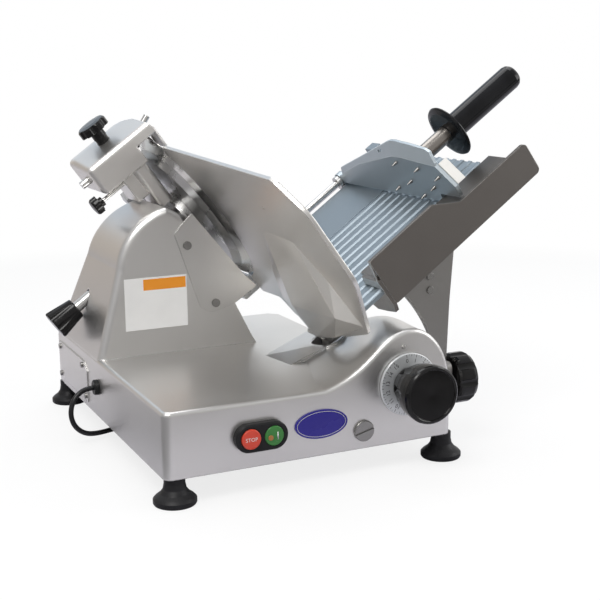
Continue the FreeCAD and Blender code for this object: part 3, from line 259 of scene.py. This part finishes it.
# one finish per kind of surface; the base casting, the guard and the plate differ in how they were worked
M = {}
M["casting"] = metal("casting_satin", (0.72, 0.71, 0.695), 0.315, streak=(26, 26, 26), streak_amt=0.012, var=0.022, grain=0.5, bevel=0.0016, bump=0.045, cloud=6.0)
M["tower_plate"] = metal("casting_panel", (0.56, 0.55, 0.54), 0.30, streak=(9, 700, 30), streak_amt=0.03, var=0.02, bump=0.05)
M["gauge"] = metal("gauge_plate_satin", (0.75, 0.735, 0.71), 0.30, streak=(30, 12, 30), streak_amt=0.015, var=0.02, bevel=0.0014, bump=0.035, cloud=5.0)
M["guard"] = metal("guard_satin", (0.60, 0.60, 0.60), 0.28, streak=(30, 30, 30), streak_amt=0.015, var=0.02, bevel=0.0012, bump=0.035)
M["table"] = metal("table_anodised", (0.30, 0.35, 0.39), 0.47, streak=(34, 900, 47), streak_amt=0.04, var=0.025, bevel=0.0009, bump=0.07)
M["pusher"] = metal("pusher_anodised", (0.50, 0.56, 0.60), 0.42, streak=(60, 60, 60), streak_amt=0.02, var=0.025, bevel=0.0010, bump=0.05)
# the fence's faces turned along -n are painted a paler grey, a painted lit side
M["fence"] = metal("fence_satin", (0.185, 0.172, 0.160), 0.40, streak=(30, 400, 30), streak_amt=0.02, var=0.025, bevel=0.0014, bump=0.05, wear=0.9, painted_lit_side=((-CA, 0.0, -SA), (0.62, 0.61, 0.60)))
M["arm"] = metal("arm_satin", (0.31, 0.302, 0.29), 0.35, streak=(420, 420, 20), streak_amt=0.03, var=0.025, bevel=0.0012, wear=0.6, bump=0.06)
M["trolley"] = metal("trolley_cast", (0.46, 0.455, 0.445), 0.40, var=0.04, grain=1.0, bump=0.12)
M["sharpener"] = metal("sharpener_satin", (0.80, 0.78, 0.755), 0.33, streak=(40, 40, 40), streak_amt=0.012, var=0.022, bevel=0.0030, bump=0.045, wear=0.08)
M["stainless"] = metal("stainless_brushed", (0.54, 0.535, 0.525), 0.27, streak=(700, 700, 24), streak_amt=0.05, var=0.02, bevel=0.0007, bump=0.08)
M["deflector"] = metal("deflector_sheet", (0.68, 0.67, 0.655), 0.31, streak=(30, 30, 30), streak_amt=0.012, var=0.02, bevel=0.0005, bump=0.03)
M["bright"] = metal("bright_steel", (0.70, 0.695, 0.68), 0.15, streak=(500, 500, 500), streak_amt=0.02, var=0.02, bevel=0.0004, bump=0.03, metallic=1.0)
M["tube"] = metal("handle_tube_steel", (0.33, 0.305, 0.28), 0.25, streak=(26, 900, 36), streak_amt=0.05, var=0.03, bevel=0.0006, bump=0.08)
M["screw"] = metal("screw_zinc", (0.30, 0.295, 0.285), 0.27, var=0.05, grain=0.8, bevel=0.0005, bump=0.08)
M["black_gloss"] = plastic("phenolic_gloss", (0.0022, 0.0020, 0.0020), 0.11, coat=0.0, var=0.3, bump=0.012, spec=0.34, edge_light=0.05)
M["black_knob"] = plastic("phenolic_knob", (0.0030, 0.0028, 0.0028), 0.16, coat=0.0, var=0.3, bump=0.02, dust=0.0, spec=0.32, edge_light=0.06)
M["grip"] = plastic("grip_gloss", (0.0018, 0.0021, 0.0034), 0.12, coat=0.0, var=0.2, bump=0.0, spec=0.30, edge_light=0.0)
M["housing"] = plastic("switch_black", (0.008, 0.0083, 0.009), 0.40, var=0.2, bump=0.08, grain=900, spec=0.22, edge_light=0.12)
M["rubber"] = plastic("rubber_foot", (0.008, 0.008, 0.0095), 0.42, var=0.25, bump=0.10, grain=420, bevel=0.0012, dust=0.05, spec=0.22, edge_light=0.1)
M["cord"] = plastic("cord_sheath", (0.010, 0.010, 0.0115), 0.32, var=0.2, bump=0.05, grain=700, coat=0.06, spec=0.3)
M["plug"] = plastic("plug_vinyl", (0.020, 0.020, 0.022), 0.42, var=0.2, bump=0.12, grain=500)
M["red"] = plastic("button_red", (0.60, 0.050, 0.022), 0.30, coat=0.12, var=0.07, bump=0.02, edge_light=0.15)
M["green"] = plastic("button_green", (0.030, 0.185, 0.030), 0.30, coat=0.12, var=0.07, bump=0.02, edge_light=0.15)
M["amber"] = plastic("lamp_amber", (0.36, 0.15, 0.03), 0.22, coat=0.3, var=0.1, bump=0.0)
M["nylon"] = plastic("nylon_white", (0.80, 0.79, 0.76), 0.38, var=0.03, bump=0.05, edge_light=0.0)
M["label"] = plastic("label_film", (0.93, 0.93, 0.92), 0.42, var=0.02, bump=0.02, edge_light=0.0, bevel=0.0003)
M["label_bar"] = plastic("label_orange", (0.95, 0.34, 0.02), 0.42, var=0.03, bump=0.02, edge_light=0.0, bevel=0.0003)
M["badge"] = plastic("badge_blue", (0.022, 0.016, 0.235), 0.26, coat=0.12, var=0.06, bump=0.02, edge_light=0.1, bevel=0.0005, spec=0.3)
M["print_white"] = plastic("print_white", (0.82, 0.82, 0.80), 0.4, var=0.02, bump=0.01, edge_light=0.0)
M["print_black"] = plastic("print_black", (0.02, 0.02, 0.022), 0.4, var=0.1, bump=0.01, edge_light=0.0)
M["stone"] = plastic("abrasive_stone", (0.22, 0.20, 0.19), 0.85, var=0.35, bump=0.6, grain=900, edge_light=0.1)
M["motor"] = plastic("motor_paint", (0.05, 0.055, 0.06), 0.4, var=0.15, bump=0.1, coat=0.1)
M["belt"] = plastic("belt_rubber", (0.02, 0.02, 0.02), 0.6, var=0.2, bump=0.3)


def dial_material():
    """Satin dial plate, turned: fine rings about its own axis."""
    mt, net, b = new_mat("dial_plate")
    vec = net.coords()
    sub = net.new("ShaderNodeVectorMath", operation="SUBTRACT")
    c = W(277.0, 0.0, 93.7)
    sub.inputs[1].default_value = (c.x, 0.0, c.z)
    net.link(vec, sub.inputs[0])
    flat = net.new("ShaderNodeVectorMath", operation="MULTIPLY")
    flat.inputs[1].default_value = (1.0, 0.0, 1.0)
    net.link(sub.outputs[0], flat.inputs[0])
    ln = net.new("ShaderNodeVectorMath", operation="LENGTH")
    net.link(flat.outputs[0], ln.inputs[0])
    comb = net.new("ShaderNodeCombineXYZ")
    net.link(ln.outputs["Value"], comb.inputs[0])
    rings = net.noise(comb.outputs[0], 2600.0, 2.0, 0.6)
    cloud = net.noise(vec, 60.0, 3.0, 0.6)
    col = net.mixc(net.remap(rings, 0.3, 0.7, 0.0, 1.0), (0.62, 0.64, 0.65), (0.76, 0.78, 0.79))
    col = net.mixc(net.remap(cloud, 0.35, 0.7, 0.0, 0.25), col, (0.55, 0.56, 0.57))
    net.link(col, b.inputs["Base Color"])
    b.inputs["Metallic"].default_value = 0.55
    net.link(net.remap(rings, 0.3, 0.7, 0.30, 0.42), b.inputs["Roughness"])
    n, _ = edge_mask(net, 0.0006)
    bp = net.new("ShaderNodeBump")
    bp.inputs["Strength"].default_value = 0.08
    bp.inputs["Distance"].default_value = 0.0002
    net.link(rings, bp.inputs["Height"])
    net.link(n, bp.inputs["Normal"])
    net.link(bp.outputs[0], b.inputs["Normal"])
    return mt


def knife_material():
    """Ground knife: circular grain about the knife axis, hollow-ground bevel bright, inner dish darker."""
    mt, net, b = new_mat("knife_ground")
    vec = net.coords()
    c = S(275.0, 330.0, 115.0)
    sub = net.new("ShaderNodeVectorMath", operation="SUBTRACT")
    sub.inputs[1].default_value = c
    net.link(vec, sub.inputs[0])
    crs = net.new("ShaderNodeVectorMath", operation="CROSS_PRODUCT")
    crs.inputs[1].default_value = (CA, 0.0, SA)
    net.link(sub.outputs[0], crs.inputs[0])
    ln = net.new("ShaderNodeVectorMath", operation="LENGTH")
    net.link(crs.outputs[0], ln.inputs[0])
    r = ln.outputs["Value"]
    comb = net.new("ShaderNodeCombineXYZ")
    net.link(r, comb.inputs[0])
    rings = net.noise(comb.outputs[0], 3200.0, 3.0, 0.65)
    cloud = net.noise(vec, 22.0, 3.0, 0.6, 0.6)
    edge = net.remap(r, 0.0955, 0.0965, 0.0, 1.0)
    col = net.mixc(edge, (0.50, 0.50, 0.50), (0.78, 0.78, 0.77))
    col = net.mixc(net.remap(rings, 0.3, 0.7, 0.0, 0.4), col, (0.66, 0.66, 0.66))
    net.link(col, b.inputs["Base Color"])
    b.inputs["Metallic"].default_value = 1.0
    rr = net.math("ADD", net.remap(edge, 0.0, 1.0, 0.27, 0.15), net.remap(cloud, 0.3, 0.7, -0.03, 0.05))
    net.link(rr, b.inputs["Roughness"])
    bp = net.new("ShaderNodeBump")
    bp.inputs["Strength"].default_value = 0.06
    bp.inputs["Distance"].default_value = 0.0002
    net.link(rings, bp.inputs["Height"])
    net.link(bp.outputs[0], b.inputs["Normal"])
    return mt


M["dial"] = dial_material()
M["knife"] = knife_material()

FINISH = {
    "base_casting": "casting", "bottom_cover": "stainless", "cover_screws": "screw", "rubber_feet": "rubber", "side_panel": "casting",
    "front_label": "label", "oval_badge": "badge", "plug_screw": "screw", "index_mark": "bright", "switch_housing": "housing",
    "gauge_guide": "trolley", "hub_bearings": "bright", "motor_body": "motor", "drive_belt": "belt", "knife_cover": "guard", "ring_guard": "guard",
    "slice_deflector": "deflector", "deflector_screws": "screw", "carriage_rail": "bright", "sharpener_body": "sharpener", "sharpener_post": "sharpener",
    "deburr_stone": "stone", "cord_gland": "housing", "power_cord": "cord", "cord_coil": "cord", "plug": "plug", "stop_button": "red",
    "start_button": "green", "start_lamp": "amber", "index_knob": "black_gloss", "dial_ring": "dial", "cam_shaft": "bright", "gauge_plate": "gauge",
    "gauge_arm": "gauge", "gauge_slide_rod": "bright", "knife": "knife", "knife_hub": "stainless", "motor_rotor": "stainless",
    "cover_knob": "black_knob", "cover_tie_rod": "bright", "trolley": "trolley", "carriage_arm": "arm", "arm_screws": "screw", "food_table": "table",
    "table_fence": "fence", "pusher_rod": "bright", "arm_knob": "black_gloss", "pusher_slider": "stainless", "pusher_plate": "pusher",
    "pusher_spikes": "screw", "pusher_edge_guard": "nylon", "handle_tube": "tube", "handle_guard": "grip", "handle_grip": "grip",
    "sharpener_knob": "black_knob", "clamp_knob": "black_knob", "clamp_screw": "bright", "grind_pin": "bright", "grind_stone": "stone",
    "deburr_pin": "bright",
}


def give(obj, key):
    if not obj.data.materials:
        obj.data.materials.append(M[key])
    for slot in obj.material_slots:
        slot.material = M[key]


for node, key in FINISH.items():
    give(NODE[node], key)


def made(name, bm_or_mesh, key, body, smooth=True):
    if isinstance(bm_or_mesh, bmesh.types.BMesh):
        me = bpy.data.meshes.new(name)
        bm_or_mesh.to_mesh(me)
        bm_or_mesh.free()
    else:
        me = bm_or_mesh
    o = bpy.data.objects.new(name, me)
    bpy.context.scene.collection.objects.link(o)
    me.materials.clear()
    me.materials.append(M[key])
    if smooth:
        for p in me.polygons:
            p.use_smooth = True
    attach(o, body)
    return o


# ---------------------------------------------------------------- power cord
D = 0.006
FZ = 3.05
ROUTE = [(-1.0, 239.0, 66.0), (-14.0, 239.0, 66.0), (-25.8, 236.8, 60.5), (-33.6, 233.7, 50.0), (-35.5, 232.6, 36.6),
         (-30.8, 233.6, 22.9), (-18.9, 236.6, 12.4), (-2.8, 241.0, 9.0), (25.5, 257.3, 6.8), (60.0, 282.0, FZ),
         (84.0, 312.0, FZ), (97.0, 348.0, FZ), (102.0, 385.0, FZ), (102.0, 422.0, FZ), (99.0, 457.0, FZ), (96.6, 488.0, FZ)]
CX, CY, CR = 135.4, 504.0, 38.9
coil_pts = []
STEP = 24.0
# (turns, radius at the start, radius at the end, height at the start, height at the end)
plan = [(0.92, 38.9, 38.9, 3.05, 3.05), (0.12, 38.9, 32.7, 3.05, 3.05), (0.88, 32.7, 32.7, 3.05, 3.05), (0.12, 32.7, 32.9, 3.05, 9.2),
        (0.84, 32.9, 32.7, 9.2, 9.2), (0.12, 32.7, 38.9, 9.2, 9.2), (0.86, 38.9, 38.9, 9.2, 9.2), (0.14, 38.9, 38.6, 9.2, 15.35),
        (0.25 + 0.44, 38.6, 38.9, 15.35, 15.35)]
total = sum(p[0] for p in plan)
# the last point is where the turn leaves along +X, at the back of the coil
end_angle = 90.0
start_angle = 180.0 - 10.0
turns_needed = math.floor(total) + (start_angle - end_angle) / 360.0
scale = turns_needed / total
steps = int(round(turns_needed * 360.0 / STEP))
edges_at, acc = [], 0.0
for t, r0, r1, z0, z1 in plan:
    edges_at.append((acc * scale, (acc + t) * scale, r0, r1, z0, z1))
    acc += t
for i in range(steps + 1):
    f = turns_needed * i / steps
    for a0, a1, r0, r1, z0, z1 in edges_at:
        if f <= a1 + 1e-9:
            k = (f - a0) / (a1 - a0)
            k = k * k * (3 - 2 * k)
            rr, zz = r0 + (r1 - r0) * k, z0 + (z1 - z0) * k
            break
    ang = math.radians(start_angle - 360.0 * f)
    # control points stand a little outside the line that the curve follows
    out = rr / (1.0 - (1.0 - math.cos(math.radians(STEP / 2))) * 0.5)
    if i < steps:
        coil_pts.append((CX + out * math.cos(ang), CY + out * math.sin(ang), zz))
coil_pts += [(CX + 3.0, CY + 39.2, 15.3), (CX + 11.0, CY + 39.2, 14.6), (CX + 18.6, CY + 38.9, 13.4)]
cord_route = [W(*p) for p in ROUTE[:-1] + coil_pts]
cu = bpy.data.curves.new("cord_line", "CURVE")
cu.dimensions = "3D"
sp = cu.splines.new("NURBS")
sp.points.add(len(cord_route) - 1)
for pt, co in zip(sp.points, cord_route):
    pt.co = (*co, 1.0)
sp.order_u = 3
sp.use_endpoint_u = True
sp.resolution_u = 8
cu.bevel_depth = D / 2
cu.bevel_resolution = 5
cu.use_fill_caps = True
cord = bpy.data.objects.new("cord", cu)
bpy.context.scene.collection.objects.link(cord)
cu.materials.append(M["cord"])
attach(cord, "base")
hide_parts("power_cord", "cord_coil")

# ---------------------------------------------------------------- dial scale
DX, DZ = 277.0, 93.7
Y_FACE = -4.2


def on_dial(r, deg, y=Y_FACE):
    a = math.radians(deg)
    return W(DX + r * math.cos(a), y, DZ + r * math.sin(a))


def glyph(text, size, extrude):
    """Mesh of a short text in the XY plane, centred on its own middle."""
    c = bpy.data.curves.new("t", "FONT")
    c.body = text
    c.size = size
    c.align_x, c.align_y = "CENTER", "CENTER"
    c.extrude = extrude
    c.resolution_u = 4
    ob = bpy.data.objects.new("t", c)
    bpy.context.scene.collection.objects.link(ob)
    bpy.context.view_layer.update()
    me = bpy.data.meshes.new_from_object(ob.evaluated_get(bpy.context.evaluated_depsgraph_get()))
    bpy.data.objects.remove(ob)
    bpy.data.curves.remove(c)
    xs = [v.co.x for v in me.vertices]
    ys = [v.co.y for v in me.vertices]
    off = Vector(((min(xs) + max(xs)) / 2, (min(ys) + max(ys)) / 2, 0))
    for v in me.vertices:
        v.co -= off
    return me


def flat_ink(bm, corners, y0, y1):
    """Thin bar standing out of a face that looks along -Y."""
    lo = [bm.verts.new(Vector((p.x, y0, p.z))) for p in corners]
    hi = [bm.verts.new(Vector((p.x, y1, p.z))) for p in corners]
    bm.faces.new(hi)
    bm.faces.new(lo[::-1])
    n = len(corners)
    for i in range(n):
        bm.faces.new((lo[i], lo[(i + 1) % n], hi[(i + 1) % n], hi[i]))


INDEX_DEG = 96.5
bm = bmesh.new()
yb = W(0, Y_FACE + 0.05, 0).y
yt = W(0, Y_FACE - 0.05, 0).y
for i in range(31):
    deg = INDEX_DEG - 11.0 * i
    major = i % 2 == 0
    r0, r1, hw = (30.3, 33.6, 0.27) if major else (31.3, 33.6, 0.22)
    a = math.radians(deg)
    t = Vector((-math.sin(a), 0, math.cos(a))) * hw / 1000.0
    p0, p1 = on_dial(r0, deg), on_dial(r1, deg)
    flat_ink(bm, [p0 - t, p1 - t, p1 + t, p0 + t], yb, yt)
for i in range(30):
    for q in (1,):
        deg = INDEX_DEG - 11.0 * i - 5.5
        a = math.radians(deg)
        t = Vector((-math.sin(a), 0, math.cos(a))) * 0.16 / 1000.0
        p0, p1 = on_dial(32.3, deg), on_dial(33.6, deg)
        flat_ink(bm, [p0 - t, p1 - t, p1 + t, p0 + t], yb, yt)
bmesh.ops.recalc_face_normals(bm, faces=bm.faces)
made("dial_ticks", bm, "print_black", "thickness_dial", smooth=False)

bm = bmesh.new()
for k in range(16):
    deg = INDEX_DEG - 22.0 * k
    me = glyph(str(k), 0.0064, 0.00005)
    a = math.radians(deg)
    out = Vector((math.cos(a), 0, math.sin(a)))
    side = Vector((math.sin(a), 0, -math.cos(a)))
    # letters stand upright towards the rim
    basis = Matrix((side, out, Vector((0, -1, 0)))).transposed().to_4x4()
    basis.translation = on_dial(27.0, deg)
    me.transform(basis)
    bm.from_mesh(me)
    bpy.data.meshes.remove(me)
made("dial_numbers", bm, "print_black", "thickness_dial", smooth=False)

# ---------------------------------------------------------------- button marks
bz = 62.3


def front_mark(name, me, x, z, y, key, body, rot=0.0):
    basis = Matrix((Vector((1, 0, 0)), Vector((0, 0, 1)), Vector((0, -1, 0)))).transposed().to_4x4()
    basis = Matrix.Translation(W(x, y, z)) @ basis @ Matrix.Rotation(rot, 4, "Z")
    me.transform(basis)
    return made(name, me, key, body, smooth=False)


front_mark("stop_mark", glyph("STOP", 0.0056, 0.00006), 89.0, bz, -11.02, "print_white", "stop_button")
bm = bmesh.new()
bmesh.ops.create_cube(bm, size=1.0, matrix=Matrix.Translation(W(118.6, -9.65, bz)) @ Matrix.Diagonal((0.0014, 0.00024, 0.0078, 1)))
bmesh.ops.bevel(bm, geom=bm.edges[:], offset=0.00009, segments=2, affect="EDGES")
made("start_mark", bm, "print_white", "start_button")

# ---------------------------------------------------------------- label bar and badge line
lab_y = 232.0 - 0.4
bm = bmesh.new()
y0, y1 = W(0, lab_y, 0).y + 0.00003, W(0, lab_y, 0).y - 0.00008
flat_ink(bm, [W(57.5, 0, 176.5), W(109.6, 0, 176.5), W(109.6, 0, 189.5), W(57.5, 0, 189.5)], y0, y1)
bmesh.ops.recalc_face_normals(bm, faces=bm.faces)
made("label_bar", bm, "label_bar", "base", smooth=False)


def ellipse_ring(name, cx, cz, y, a, b, w, h, key, body, n=96):
    bm = bmesh.new()
    rows = []
    prof = [(-w, 0.0), (-w * 0.7, h), (w * 0.7, h), (w, 0.0)]
    for i in range(n):
        t = 2 * math.pi * i / n
        nx, nz = b * math.cos(t), a * math.sin(t)
        ln = math.hypot(nx, nz)
        nx, nz = nx / ln, nz / ln
        rows.append([bm.verts.new(W(cx + a * math.cos(t) + nx * o, y - hh, cz + b * math.sin(t) + nz * o)) for o, hh in prof])
    for i in range(n):
        p, q = rows[i], rows[(i + 1) % n]
        for j in range(4):
            bm.faces.new((p[j], p[(j + 1) % 4], q[(j + 1) % 4], q[j]))
    bmesh.ops.recalc_face_normals(bm, faces=bm.faces)
    return made(name, bm, key, body)


ellipse_ring("badge_line", 172.4, 64.0, -1.55, 28.2, 13.4, 0.32, 0.12, "print_white", "base")

# ---------------------------------------------------------------- floor, light
def stage_material():
    mt, net, b = new_mat("stage_floor")
    vec = net.coords()
    col = net.mixc(net.noise(vec, 3.0, 2.0), (0.80, 0.80, 0.80), (0.82, 0.82, 0.82))
    net.link(col, b.inputs["Base Color"])
    b.inputs["Roughness"].default_value = 0.75
    b.inputs["Specular IOR Level"].default_value = 0.05
    seen = net.new("ShaderNodeLightPath")
    spot = net.new("ShaderNodeSeparateXYZ")
    net.link(vec, spot.inputs[0])
    # what the polished faces see of the sheet: bright close by, dim further out in front, dim on the left
    near = net.mixc(net.remap(spot.outputs["Y"], -0.58, -0.36, 0.0, 1.0), (0.120, 0.115, 0.110), (0.58, 0.57, 0.615))
    near = net.mixc(net.remap(spot.outputs["Y"], -0.80, -0.62, 1.0, 0.0), near, (0.44, 0.43, 0.42))
    left = net.mixc(net.remap(spot.outputs["Y"], 0.0, 0.42, 0.0, 1.0), (0.20, 0.198, 0.205), (0.60, 0.575, 0.585))
    low = net.mixc(net.remap(spot.outputs["X"], -0.34, -0.24, 0.0, 1.0), left, near)
    net.link(net.mixc(seen.outputs["Is Camera Ray"], low, col), b.inputs["Base Color"])
    ln = net.new("ShaderNodeVectorMath", operation="LENGTH")
    net.link(vec, ln.inputs[0])
    fade = net.remap(ln.outputs["Value"], 0.35, 1.5, 0.0, 1.0)
    # to the eye the sheet is overexposed paper that keeps only a faint shadow and fades out
    glow = net.new("ShaderNodeEmission")
    glow.inputs["Color"].default_value = (1.0, 1.0, 1.0, 1.0)
    keep = net.math("MULTIPLY", seen.outputs["Is Camera Ray"], net.math("MAXIMUM", fade, 0.80))
    mix = net.new("ShaderNodeMixShader")
    net.link(keep, mix.inputs[0])
    net.link(b.outputs[0], mix.inputs[1])
    net.link(glow.outputs[0], mix.inputs[2])
    out = next(n for n in net.n if n.type == "OUTPUT_MATERIAL")
    net.link(mix.outputs[0], out.inputs["Surface"])
    return mt


bm = bmesh.new()
bmesh.ops.create_circle(bm, cap_ends=True, radius=4.0, segments=96)
me = bpy.data.meshes.new("floor")
bm.to_mesh(me)
bm.free()
floor = bpy.data.objects.new("floor", me)
bpy.context.scene.collection.objects.link(floor)
me.materials.append(stage_material())
floor.location = (0, 0, -0.0002)

world = bpy.data.worlds.new("studio")
world.use_nodes = True
bpy.context.scene.world = world
wn = Net(world.node_tree)
bg = next(n for n in wn.n if n.type == "BACKGROUND")
tc = wn.new("ShaderNodeTexCoord")
gen = tc.outputs["Generated"]
sep = wn.new("ShaderNodeSeparateXYZ")
wn.link(gen, sep.inputs[0])


def lobe(direction, power_from, lo=0.0, hi=1.0):
    d = wn.new("ShaderNodeVectorMath", operation="DOT_PRODUCT")
    d.inputs[1].default_value = Vector(direction).normalized()
    wn.link(gen, d.inputs[0])
    mr = wn.new("ShaderNodeMapRange", interpolation_type="SMOOTHSTEP")
    for k, v in (("From Min", power_from), ("From Max", 1.0), ("To Min", lo), ("To Max", hi)):
        mr.inputs[k].default_value = v
    wn.link(d.outputs["Value"], mr.inputs["Value"])
    return mr.outputs["Result"]


sky = wn.mixc(wn.remap(sep.outputs["Z"], -0.05, 0.75, 0.0, 1.0), (0.66, 0.655, 0.65), (0.66, 0.665, 0.68))
sky = wn.mixc(lobe((0.1, -1.0, 0.12), 0.35, 0.0, 0.8), sky, (0.52, 0.51, 0.50))
sky = wn.mixc(lobe((0.35, 0.92, 0.18), 0.45, 0.0, 1.0), sky, (1.05, 1.04, 1.02))
sky = wn.mixc(lobe((-0.55, 0.83, 0.0), 0.78, 0.0, 0.9), sky, (0.52, 0.44, 0.365))
sky = wn.mixc(lobe((0.05, 0.88, 0.47), 0.88, 0.0, 0.8), sky, (0.60, 0.72, 0.86))
sky = wn.mixc(lobe((-0.9, -0.1, 0.45), 0.80, 0.0, 0.9), sky, (0.50, 0.50, 0.52))
sky = wn.mixc(lobe((-0.85, 0.50, 0.15), 0.72, 0.0, 0.9), sky, (0.44, 0.43, 0.42))
lp = wn.new("ShaderNodeLightPath")
col = wn.mixc(lp.outputs["Is Camera Ray"], sky, (1.0, 1.0, 1.0))
wn.link(col, bg.inputs["Color"])
bg.inputs["Strength"].default_value = 1.0


def area(name, pos, target, size, power, color=(1, 1, 1), size_y=None):
    ld = bpy.data.lights.new(name, "AREA")
    ld.shape = "RECTANGLE"
    ld.size = size
    ld.size_y = size_y or size
    ld.energy = power
    ld.color = color
    lo = bpy.data.objects.new(name, ld)
    bpy.context.scene.collection.objects.link(lo)
    lo.location = pos
    d = (Vector(target) - Vector(pos)).normalized()
    lo.rotation_euler = d.to_track_quat("-Z", "Y").to_euler()
    return lo


area("key", (-0.9, -0.9, 1.7), (0, 0, 0.15), 1.1, 20, (1.0, 0.99, 0.97), 0.8)
area("top", (0.2, 0.5, 2.0), (0, 0, 0.1), 1.6, 14, (0.98, 0.99, 1.0), 1.2)
area("side", (1.6, -0.7, 0.9), (0, 0, 0.2), 0.9, 10, (1.0, 1.0, 1.0), 1.2)

bpy.context.scene.view_settings.view_transform = "Standard"

bpy.context.view_layer.update()
